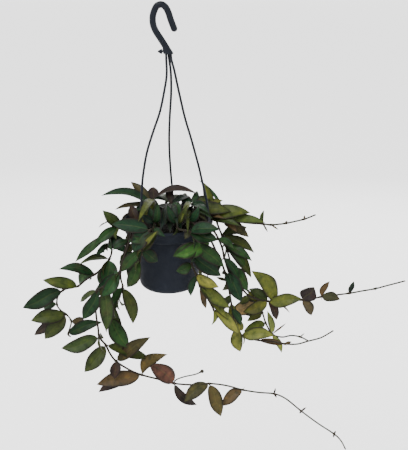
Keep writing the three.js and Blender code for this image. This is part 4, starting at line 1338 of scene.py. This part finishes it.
@dataclass
class Soil:
    """The soil in the pot, with crumbs, bark chips and grit on its top."""

    pot: Pot
    edge: float = -14.5
    middle: float = -11.5
    gap: float = 0.3
    # Near black: the soil's own dark colour, darkened further as painted shade for the shade inside the pot.
    tone: Colour = (0.0042, 0.0038, 0.0026)
    edge_drop: float = 0.6
    least_ring: float = 0.8
    top_rings: int = 46
    sides: int = 144
    bits: int = 420
    bit_rings: int = 3
    bit_sides: int = 6
    bits_off_wall: float = 3.0
    bit_rise: float = 0.25
    bit_stretch: tuple[Point, Point] = ((0.9, 0.6, 0.4), (1.9, 1.0, 0.8))
    bit_roughness: Pair = (0.8, 1.15)
    waves: int = 26
    shortest_wave: float = 5.0
    longest_wave: float = 40.0
    wave_height: float = 0.45

    def lumps(self, x: Array, y: Array) -> Array:
        """Unevenness of the top: the sum of sine waves of many lengths in all directions.

        Args:
            x: Places to the right of the pot's axis.
            y: Places behind it.

        Returns:
            The heights to add there.
        """
        draw = np.random.default_rng(DETAIL_SEED)
        length = draw.uniform(self.shortest_wave, self.longest_wave, self.waves)
        angle = draw.uniform(0, 2 * np.pi, self.waves)
        phase = draw.uniform(0, 2 * np.pi, self.waves)
        shape = (self.waves,) + (1,) * np.ndim(x)
        length, angle, phase = (value.reshape(shape) for value in (length, angle, phase))
        wave = np.sin(2 * np.pi * (x * np.cos(angle) + y * np.sin(angle)) / length + phase)
        return (wave * length / self.longest_wave).sum(axis=0) * self.wave_height

    def top(self, x: Array, y: Array) -> Array:
        """Height of the soil at a place: it falls with the radius squared, and has lumps off the wall."""
        share = np.hypot(x, y) / (self.pot.collar_bottom_radius - self.pot.wall)
        return self.middle + (self.edge - self.middle) * share**2 + self.lumps(x, y) * (1 - share**6)

    def build(self) -> None:
        """Makes the bed and the bits that lie on it."""
        radius = self.pot.collar_bottom_radius - self.pot.wall - self.gap
        rings = [(ring, self.middle) for ring in np.linspace(radius, self.least_ring, self.top_rings)]
        wall_top = (radius, self.edge - self.edge_drop)
        outline = np.vstack([self.pot.inside(self.gap), wall_top, rings, (0, self.middle)])
        bed = turned(outline, self.sides)
        raised = bed.points[:, 2] > self.edge - self.edge_drop / 2
        bed.points[raised, 2] = self.top(*bed.points[raised, :2].T)
        material = SoilFinish().build()
        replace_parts(make_piece("soil_bed", bed.with_layer("tone", self.tone), material), "soil")
        make_piece("soil_crumbs", self.scatter(radius - self.bits_off_wall), material)

    def scatter(self, radius: float) -> Shell:
        """Crumbs, bark chips and grit: small balls of three rings, each stretched, turned and roughened.

        A size is drawn for all three kinds and then that of the bit's own kind is used.

        Args:
            radius: How far from the middle they lie.

        Returns:
            All of them as one shell with the layer tone.
        """
        draw = np.random.default_rng(DETAIL_SEED + 1)
        kinds = (BARK, GRIT, CRUMB)
        share = np.linspace(-0.8, 0.8, self.bit_rings)
        ball = rings_round_z(np.sqrt(1 - share**2), share, self.bit_sides)
        shells = []
        for _ in range(self.bits):
            away, turn = math.sqrt(draw.random()) * radius, draw.uniform(0, 2 * np.pi)
            x, y = away * math.cos(turn), away * math.sin(turn)
            kind = kinds[draw.choice(len(kinds), p=[kind.share for kind in kinds])]
            size = {each: draw.uniform(*each.sizes) for each in (CRUMB, BARK, GRIT)}[kind]
            stretch = size * draw.uniform(*self.bit_stretch)
            spin = draw.uniform(0, np.pi)
            cosine, sine = math.cos(spin), math.sin(spin)
            spun = np.array([(cosine, sine, 0), (-sine, cosine, 0), (0, 0, 1)])
            rough = ball * draw.uniform(*self.bit_roughness, (self.bit_rings, self.bit_sides, 1))
            bit = swept(rough, np.array([0, 0, -1.0]), np.array([0, 0, 1.0]))
            height = float(self.top(np.array(x), np.array(y))) + self.bit_rise * size
            bit.points = (bit.points * stretch) @ spun + (x, y, height)
            shells.append(bit.with_layer("tone", kind.tone))
        return gathered(shells)


@dataclass(frozen=True)
class LeafLine:
    """The line of a leaf, with the normal of its upper face and the direction across it.

    It runs from the joint to the tip, bows towards the side it faces and leans to one edge by the share
    4t(1-t) of its bow and lean, where t is the share of its length.
    """

    leaf: Leaf
    base: Array
    normal: Array
    side: Array

    @classmethod
    def grown(cls, leaf: Leaf, base: Array) -> "LeafLine":
        """The line of a leaf that grows from a joint.

        Args:
            leaf: The leaf.
            base: The place of the joint.

        Returns:
            The line.
        """
        direction = unit(leaf.tip - base)
        facing = math.radians(leaf.facing)
        normal = polar(math.sin(facing), leaf.heading, math.cos(facing))
        normal = unit(normal - (normal @ direction) * direction)
        return cls(leaf, base, normal, np.cross(direction, normal))

    def at(self, share: Array) -> Array:
        """Points on the line.

        Args:
            share: Shares of its length, with 0 at the joint and 1 at the tip.

        Returns:
            The points, one a row.
        """
        arch = (4 * share * (1 - share))[:, None]
        bend = self.normal * self.leaf.bow + self.side * self.leaf.lean
        return self.base + (self.leaf.tip - self.base) * share[:, None] + bend * arch


@dataclass(frozen=True)
class BladeForm:
    """The form of all leaf blades, in shares of a leaf's width or length where no unit is given."""

    stalk_share: float = 0.05
    foot_in_stalk: float = 0.9
    stations: int = 18
    first_station: float = 0.09
    last_station: float = 0.995
    columns: tuple[float, ...] = (-1, -0.92, -0.7, -0.36, -0.1, 0, 0.1, 0.36, 0.7, 0.92, 1)
    fullest: float = 0.85
    fullness: float = 1.12
    roundness: float = 0.6
    point: float = 0.36
    swing_share: float = 0.12
    curl_from: float = 0.6
    curl_share: float = 0.45
    curl_spread: float = 0.6
    twist_degrees: float = 22.0
    twist_about: float = 0.3
    half_thickness_mm: float = 0.62
    full_thickness_width_mm: float = 9.0
    full_thickness_half_mm: float = 2.5
    least_thickness: float = 0.25
    edge_power: float = 2.2
    edge_roundness: float = 0.7
    groove_depth_mm: float = 0.35
    groove_width: float = 0.09
    full_groove_half_mm: float = 5.0
    fold_power: float = 1.5
    wave_share: float = 0.07
    wave_middle: float = 0.6
    wave_change: float = 0.4
    waves: float = 1.4
    wave_offset: float = 0.9
    tip_reach: float = 0.6
    warm_share: float = 0.16
    shade_share: float = 0.2

    def build(self, line: LeafLine, fold: float, roll: float, detail: np.random.Generator) -> Shell:
        """A blade as a closed skin over sections of 20 points.

        At the share v of its length its half width is 0.56 times the leaf's width times sin(pi v^0.85) to the
        power 0.6 + 0.36 v^2, which draws the tip out to a point. The blade twists a little along its line,
        swings to one side and back, and its tip curls under.

        Args:
            line: The leaf's line.
            fold: How far the edges rise, as a share of the half width.
            roll: The most that the blade is rolled about its line, in degrees.
            detail: Source of small differences between leaves.

        Returns:
            The shell with the layers across, along, under and tone.
        """
        twist, wave_phase, wave_height, curl, shade, warmth, swing, rolled = detail.uniform(-1, 1, 8)
        width, side, normal = line.leaf.width, line.side, line.normal
        v = (1 - np.cos(np.linspace(self.first_station, 1, self.stations) * np.pi)) / 2
        v[-1] = self.last_station
        power = self.roundness + self.point * v**2
        half = self.fullness * width / 2 * np.sin(np.pi * v**self.fullest) ** power
        sideways = self.swing_share * width * swing * np.sin(2 * np.pi * v) * (1 - v)
        curled = np.clip(v - self.curl_from, 0, 1) ** 2
        under = curled * width * self.curl_share * (1 + self.curl_spread * curl)
        centre = line.at(self.stalk_share + (1 - self.stalk_share) * v)
        centre = centre + side * sideways[:, None] - normal * under[:, None]
        turn = np.radians(self.twist_degrees * twist) * (v - self.twist_about) + math.radians(roll * rolled)
        cosine, sine = np.cos(turn)[:, None], np.sin(turn)[:, None]
        top = np.array(self.columns)
        x = np.concatenate([top, top[-2:0:-1]])
        face = np.concatenate([np.ones(len(top)), -np.ones(len(top) - 2)])
        ripple = self.wave_share * width * (self.wave_middle + self.wave_change * wave_height)
        thickness = self.half_thickness_mm * min(1.0, width / self.full_thickness_width_mm)
        height = self.section(x, half[:, None], v[:, None], fold, ripple, wave_phase)
        height += thickness * self.thinning(x, half[:, None]) * face
        across = (side * cosine + normal * sine)[:, None] * (half[:, None] * x)[..., None]
        rings = centre[:, None] + across + (normal * cosine - side * sine)[:, None] * height[..., None]
        start = line.at(np.array([self.stalk_share * self.foot_in_stalk]))[0]
        shell = swept(rings, start, centre[-1] + (centre[-1] - centre[-2]) * self.tip_reach)
        lower = np.tile((face < 0) | (np.abs(x) == 1), self.stations)
        warm = self.warm_share * warmth
        tint = (1 + self.shade_share * shade) * np.array([1 + warm, 1, 1 - warm])
        shell.with_layer("across", np.concatenate([np.tile(x, self.stations), [0, 0]]))
        shell.with_layer("along", np.concatenate([np.repeat(v, len(x)), [0, 1]]))
        shell.with_layer("under", np.concatenate([lower, [0, 0]]))
        return shell.with_layer("tone", line.leaf.tone.value * tint)

    def section(self, x: Array, half: Array, v: Array, fold: float, ripple: float, phase: float) -> Array:
        """Heights of the middle of the blade above the leaf's line.

        A section rises from the midrib to the edges by the fold, has a groove along the midrib, and waves
        gently along its edges.

        Args:
            x: Places across, from -1 to 1, over the top and back underneath.
            half: Half widths at the stations.
            v: The stations' shares of the length.
            fold: How far the edges rise, as a share of the half width.
            ripple: Height of the waves along the edges.
            phase: Where the waves begin.

        Returns:
            The heights in the shape (station, place across).
        """
        depth = np.minimum(1, half / self.full_groove_half_mm)
        groove = -self.groove_depth_mm * np.exp(-((x / self.groove_width) ** 2)) * depth
        lift = fold * half * np.abs(x) ** self.fold_power
        wave = ripple * np.sin(2 * np.pi * (self.waves * v + phase) + self.wave_offset * np.sign(x))
        return groove + lift + wave * x**2 * np.sin(np.pi * v)

    def thinning(self, x: Array, half: Array) -> Array:
        """Thickness of the blade as a share of the most: less in narrow sections, and none at the edges."""
        body = np.minimum(1, half / self.full_thickness_half_mm + self.least_thickness)
        return body * (1 - np.abs(x) ** self.edge_power) ** self.edge_roundness


@dataclass
class Foliage:
    """All the leafy stems: round, with swollen joints and small roots, and waxy blades on short stalks."""

    blade: BladeForm = BladeForm()
    stem_radius: float = 2.0
    tip_radius: float = 1.35
    stem_sides: int = 10
    stem_samples: int = 10
    stem_step: float = 3.2
    joint_swell: float = 0.75
    joint_reach: float = 2.6
    root_heights: Pair = (-20, -12)
    back_root_height: float = -26.0
    stalk_radius: float = 1.15
    stalk_taper: Pair = (1.1, 0.6)
    stalk_overlap: float = 2.2
    stalk_points: int = 7
    stalk_sides: int = 8
    full_stalk_width: float = 8.0
    vine_roll: float = 10.0
    crown_roll: float = 16.0
    fold_least: float = 0.14
    fold_range: float = 0.26
    scale_leaf_width: float = 3.5
    air_roots_a_joint: int = 2
    air_root_lengths: Pair = (3.0, 7.0)
    air_root_radii: Pair = (0.6, 0.2)
    air_root_bend: float = 0.25
    air_root_points: int = 5
    air_root_sides: int = 5
    spur_radius: float = 1.25
    spur_neck_radius: float = 1.2
    spur_head_length: float = 3.2
    scar_height: float = 0.2
    scar_radians_per_mm: float = 2.2
    spur_samples: int = 8
    spur_step: float = 1.5
    spur_sides: int = 10
    back_root_radius: float = 44.0
    back_rim_height: float = 10.0
    back_leaf_length: float = 42.0
    back_leaf_lengths: Pair = (0.8, 0.4)
    back_leaf_widths: Pair = (0.85, 0.3)
    back_leaf_depths: Pair = (0, 4)
    back_leaf_reach: float = 0.84
    back_leaf_width: float = 17.0
    back_leaf_facing: float = 68.0
    back_leaf_bow: float = 4.0
    back_sway: float = 5.0
    bead_radius: float = 76.0
    side_share: float = 0.8
    side_length: float = 30.0
    side_width: float = 11.0
    side_facing: float = 70.0
    side_bow: float = 3.0
    side_away: float = 135.0
    side_lowest: float = -200.0
    side_depth: float = 104.0
    side_lengths: Pair = (0.75, 0.4)
    side_widths: Pair = (0.8, 0.4)
    side_swings: Pair = (-0.35, 0.7)
    side_reaches: Pair = (0.45, 0.35)
    side_drops: Pair = (0.3, 0.5)
    side_turn: float = 80.0

    def build(self) -> None:
        """Makes two pieces for each vine: its stem with stalks and roots, and its blades."""
        draws = Draws(PLACING_SEED)
        vines = [*VINES, *(self.back_vine(vine, draws) for vine in BACK_VINES)]
        vines.append(self.back_shoot(BACK_SHOOT, draws))
        detail, young = np.random.default_rng(DETAIL_SEED), np.random.default_rng(YOUNG_SEED)
        leaf_material, stem_material = LeafFinish().build(), StemFinish().build()
        for vine in vines:
            route = np.array(vine.route, float)
            wood, blades = [self.stem(route, vine)], []
            roll = self.crown_roll if "crown" in vine.name else self.vine_roll
            for leaf in vine.leaves:
                line = LeafLine.grown(leaf, route[leaf.joint])
                fold = draws.within(self.fold_least, self.fold_range)
                wood.append(self.stalk(line))
                blades.append(self.blade.build(line, fold, roll, detail))
            for leaf in (*vine.young, *self.side_leaves(vine, route, young)):
                line = LeafLine.grown(leaf, route[leaf.joint])
                fold = self.fold_least + self.fold_range * young.random()
                wood.append(self.stalk(line))
                blades.append(self.blade.build(line, fold, roll, young))
            wood += [*self.spurs(vine, route), *self.air_roots(vine, route, detail)]
            stem = make_piece(f"{vine.name}_stem", gathered(wood), stem_material)
            leafage = make_piece(f"{vine.name}_leaves", gathered(blades), leaf_material)
            for piece in (stem, leafage):
                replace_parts(piece, vine.name)

    def side_leaves(self, vine: Vine, route: Array, young: np.random.Generator) -> list[Leaf]:
        """Small leaves that show their faces to the sides, so that the plant is as full from there.

        They stand at the leafy joints near the pot, one towards the viewer and one away, each forward or back
        by 0.45 to 0.8 of its length and down by 0.3 to 0.8 of it, in the tone of the joint's first leaf.

        Args:
            vine: The vine.
            route: Its route as an array.
            young: Source of the draws.

        Returns:
            The leaves.
        """
        grown = []
        first = {leaf.joint: leaf for leaf in reversed(vine.leaves) if leaf.width > self.scale_leaf_width}
        for joint, older in sorted(first.items()):
            start = route[joint]
            for turn in (-1, 1):
                lot, length, out, down, swing, width, heading = young.uniform(0, 1, 7)
                length = self.side_length * from_least(self.side_lengths, length)
                step = (
                    from_least(self.side_swings, swing),
                    turn * from_least(self.side_reaches, out),
                    -from_least(self.side_drops, down),
                )
                tip = start + length * np.array(step)
                near = math.hypot(*start[:2]) < self.side_away and start[2] > self.side_lowest
                if lot < self.side_share and near and abs(tip[1]) < self.side_depth:
                    faces = 90 - math.copysign(90, tip[0]) - self.side_turn * (heading - 0.5)
                    size = self.side_width * from_least(self.side_widths, width)
                    form = (size, self.side_facing, self.side_bow, 0)
                    grown.append(Leaf(joint, *tip, *form, older.tone, faces))
        return grown

    def back_vine(self, spec: BackVine, draws: Draws) -> Vine:
        """A vine that hangs behind the pot and sways a little as it falls, with a pair of leaves a joint.

        Args:
            spec: The vine's place and drop.
            draws: Source of the draws.

        Returns:
            The vine.
        """
        high, root = self.back_rim_height, self.back_root_radius
        over = self.bead_radius + 6
        rise = ((root, self.back_root_height), (root + 8, 2), (root + 20, high + 2), (over, high - 2))
        route = [polar(radius, spec.rim_angle, height) for radius, height in rise]
        grown = []
        tones = (MOSS, FOREST, OLIVE, DEEP, MOSS, BROWN)
        for k in range(1, spec.pairs + 1):
            angle = spec.rim_angle + self.back_sway * draws.within(-1, 2)
            height = high - spec.drop * k / spec.pairs
            for turn in (-1, 1):
                length = self.back_leaf_length * draws.within(*self.back_leaf_lengths)
                reach = self.back_leaf_reach * length
                out = self.bead_radius + spec.out + draws.within(*self.back_leaf_depths)
                tip = polar(out, angle, height - reach)
                tip += polar(turn * math.sqrt(length**2 - reach**2), spec.rim_angle - 90, 0)
                width = self.back_leaf_width * draws.within(*self.back_leaf_widths)
                tone = tones[(3 * k + turn + len(spec.name)) % len(tones)]
                form = (width, self.back_leaf_facing, self.back_leaf_bow, 0)
                grown.append(Leaf(len(route), *tip, *form, tone, spec.rim_angle))
            route.append(polar(self.bead_radius + spec.out, angle, height))
        return Vine(spec.name, tuple(map(tuple, route)), tuple(grown))

    def back_shoot(self, spec: BackShoot, draws: Draws) -> Vine:
        """A low shoot whose leaves fan out, each a little lower than its own joint.

        Args:
            spec: The shoot's place and the ranges of its leaves.
            draws: Source of the draws.

        Returns:
            The shoot.
        """
        x, y = spec.root
        route = ((x, y, self.back_root_height), (x, y + 3, -6), (x, y + 6, spec.height))
        grown = []
        for heading in spec.headings:
            tip = polar(draws.within(*spec.lengths), heading, -draws.within(*spec.drops)) + route[-1]
            form = (draws.within(*spec.widths), spec.facing, spec.bow, 0)
            grown.append(Leaf(len(route) - 1, *tip, *form, DEEP, heading))
        return Vine(spec.name, route, tuple(grown))

    def stem(self, route: Array, vine: Vine) -> Shell:
        """The stem: its radius falls evenly from root to tip, and at each leafy joint a bell curve is added.

        Args:
            route: The vine's route as an array.
            vine: The vine.

        Returns:
            The shell.
        """
        root = [(*route[0, :2], height) for height in self.root_heights]
        line = smooth_curve(np.vstack([route[:1], root, route[1:]]), self.stem_samples)
        line = respaced(line, self.stem_step)
        share = along_curve(line) / along_curve(line)[-1]
        radius = self.stem_radius + (self.tip_radius - self.stem_radius) * share
        joints = route[sorted({leaf.joint for leaf in vine.leaves})]
        away = np.linalg.norm(line[:, None] - joints[None], axis=2).min(axis=1)
        radius = radius + self.joint_swell * np.exp(-((away / self.joint_reach) ** 2))
        return tube(line, radius, self.stem_sides)

    def stalk(self, line: LeafLine) -> Shell:
        """The short stalk from inside the stem to inside the foot of the blade.

        Args:
            line: The leaf's line.

        Returns:
            The shell.
        """
        thin = min(1.0, line.leaf.width / self.full_stalk_width)
        points = line.at(np.linspace(0, self.blade.stalk_share * self.stalk_overlap, self.stalk_points))
        radius = self.stalk_radius * thin * np.linspace(*self.stalk_taper, self.stalk_points)
        return tube(points, radius, self.stalk_sides)

    def spurs(self, vine: Vine, route: Array) -> list[Shell]:
        """The stalks of old flower heads.

        Each is a thin curved rod. A sine wave along it gives its radius the rings of scars, and a bell curve
        at its end gives it a knobbly head.

        Args:
            vine: The vine.
            route: Its route as an array.

        Returns:
            A shell for each spur.
        """
        shells = []
        for spur in vine.spurs:
            line = smooth_curve(np.vstack([route[spur.joint], spur.route]), self.spur_samples)
            line = respaced(line, self.spur_step)
            length = along_curve(line)
            scars = self.scar_height * np.sin(length * self.scar_radians_per_mm)
            nearness = np.exp(-(((length[-1] - length) / self.spur_head_length) ** 2))
            head = (spur.head_radius - self.spur_neck_radius) * nearness
            shells.append(tube(line, self.spur_radius + scars + head, self.spur_sides))
        return shells

    def air_roots(self, vine: Vine, route: Array, detail: np.random.Generator) -> list[Shell]:
        """Short tapered roots at each leafy joint, pointing away at random and bent by the share squared.

        Args:
            vine: The vine.
            route: Its route as an array.
            detail: Source of their directions.

        Returns:
            A shell for each root.
        """
        shells = []
        share = np.linspace(0.1, 1, self.air_root_points)[:, None]
        radius = np.linspace(*self.air_root_radii, self.air_root_points)
        for joint in sorted({leaf.joint for leaf in vine.leaves if leaf.width > self.scale_leaf_width}):
            for _ in range(self.air_roots_a_joint):
                away = unit(detail.normal(size=3))
                length = detail.uniform(*self.air_root_lengths)
                bend = unit(detail.normal(size=3)) * self.air_root_bend * length
                line = route[joint] + away * length * share + bend * share**2
                shells.append(tube(line, radius, self.air_root_sides))
        return shells


@dataclass
class Studio:
    """The pale floor, the soft lights and the camera at the photograph's viewing angle, in metres."""

    camera_place_mm: Point = (60.8, -1516.1, 511.3)
    camera_pitch: float = 19.0
    focal_pixels: float = 947.0
    picture_height: float = 450.0
    floor_height: float = -1.25
    flat_radius: float = 11.0
    outer_radius: float = 36.0
    floor_rise: float = 9.0
    floor_rings: int = 20
    floor_sides: int = 72
    floor_dark: Colour = (0.93, 0.93, 0.93)
    floor_light: Colour = (0.95, 0.95, 0.95)
    sun_strength: float = 5.3
    sun_width: float = 40.0
    sun_turn: Point = (35.0, -20.0, 0.0)
    lamp_size: float = 2.6
    lamp_target: Point = (0.05, 0, -0.4)
    lamps: tuple[tuple[str, Point, float], ...] = (
        ("key_light", (-1.6, -2.2, 2.6), 45),
        ("fill_light", (2.6, -1.2, 1.2), 55),
        ("side_light", (-2.8, -0.2, 0.7), 35),
        ("back_light", (0.4, 2.8, 0.6), 50),
    )
    world_strength: float = 1.15

    def build(self) -> None:
        """Makes the stage, the lights and the camera."""
        self.floor()
        self.sun()
        for lamp in self.lamps:
            self.lamp(*lamp)
        world = bpy.data.worlds.new("soft_white")
        world.use_nodes = True
        background = world.node_tree.nodes["Background"]
        background.inputs["Color"].default_value = (1, 1, 1, 1)
        background.inputs["Strength"].default_value = self.world_strength
        bpy.context.scene.world = world
        self.camera()

    def floor(self) -> None:
        """A wide pale floor below the plant, which rises gently far away, so that no edge of it shows.

        A point at radius r and angle a lies at (r cos a, r sin a), and above the floor by the rise times
        3s^2 - 2s^3, where s is the share of the way from the flat radius to the outer radius.
        """
        graph = Graph("pale_floor")
        clouds = graph.mix(graph.noise(scale=0.5, detail=2), self.floor_dark, self.floor_light)
        graph.set(Base_Color=clouds, Roughness=0.9)
        share = np.linspace(0, 1, self.floor_rings)
        radius = self.flat_radius + (self.outer_radius - self.flat_radius) * share
        height = self.floor_height + self.floor_rise * (3 * share**2 - 2 * share**3)
        rings = rings_round_z(radius, height, self.floor_sides)
        start = np.arange(self.floor_rings - 1)[:, None] * self.floor_sides
        here = np.arange(self.floor_sides)
        after = np.roll(here, -1)
        outer = start + self.floor_sides
        quads = np.stack([start + here, outer + here, outer + after, start + after], -1)
        mesh = bpy.data.meshes.new("floor")
        mesh.from_pydata(rings.reshape(-1, 3).tolist(), [], [here.tolist(), *quads.reshape(-1, 4).tolist()])
        mesh.polygons.foreach_set("use_smooth", np.ones(len(mesh.polygons), bool))
        mesh.materials.append(graph.material)
        placed("floor", mesh)

    def sun(self) -> None:
        """A wide soft light from the upper left front that reaches the whole floor."""
        data = bpy.data.lights.new("wide_soft_light", "SUN")
        data.energy = self.sun_strength
        data.angle = math.radians(self.sun_width)
        placed("wide_soft_light", data).rotation_euler = tuple(math.radians(turn) for turn in self.sun_turn)

    def lamp(self, name: str, place: Point, power: float) -> None:
        """Makes a square soft light that looks at the middle of the plant.

        Args:
            name: The light's name.
            place: Where it stands.
            power: Its power in watts.
        """
        data = bpy.data.lights.new(name, "AREA")
        data.size = self.lamp_size
        data.energy = power
        lamp = placed(name, data)
        lamp.location = place
        x, y, z = np.array(place) - self.lamp_target
        lamp.rotation_euler = (math.atan2(math.hypot(x, y), z), 0, math.atan2(y, x) + math.pi / 2)

    def camera(self) -> None:
        """The camera: level to the sides, pitched down, with its focal length from the picture's height."""
        data = bpy.data.cameras.new("camera")
        data.lens = self.focal_pixels / self.picture_height * data.sensor_width
        camera = placed("camera", data)
        camera.location = (np.array(self.camera_place_mm) + RIM_CENTRE) * MM
        camera.rotation_euler = (math.radians(90 - self.camera_pitch), 0, 0)
        bpy.context.scene.camera = camera


def main() -> None:
    """Builds the stage and the plant round the frame; each piece's size is logged as it is made."""
    logging.basicConfig(level=logging.INFO, format="%(name)s: %(message)s")
    Studio().build()
    Hanger().build()
    pot = Pot()
    pot.build()
    Soil(pot).build()
    Foliage().build()


if __name__ == "__main__":
    main()
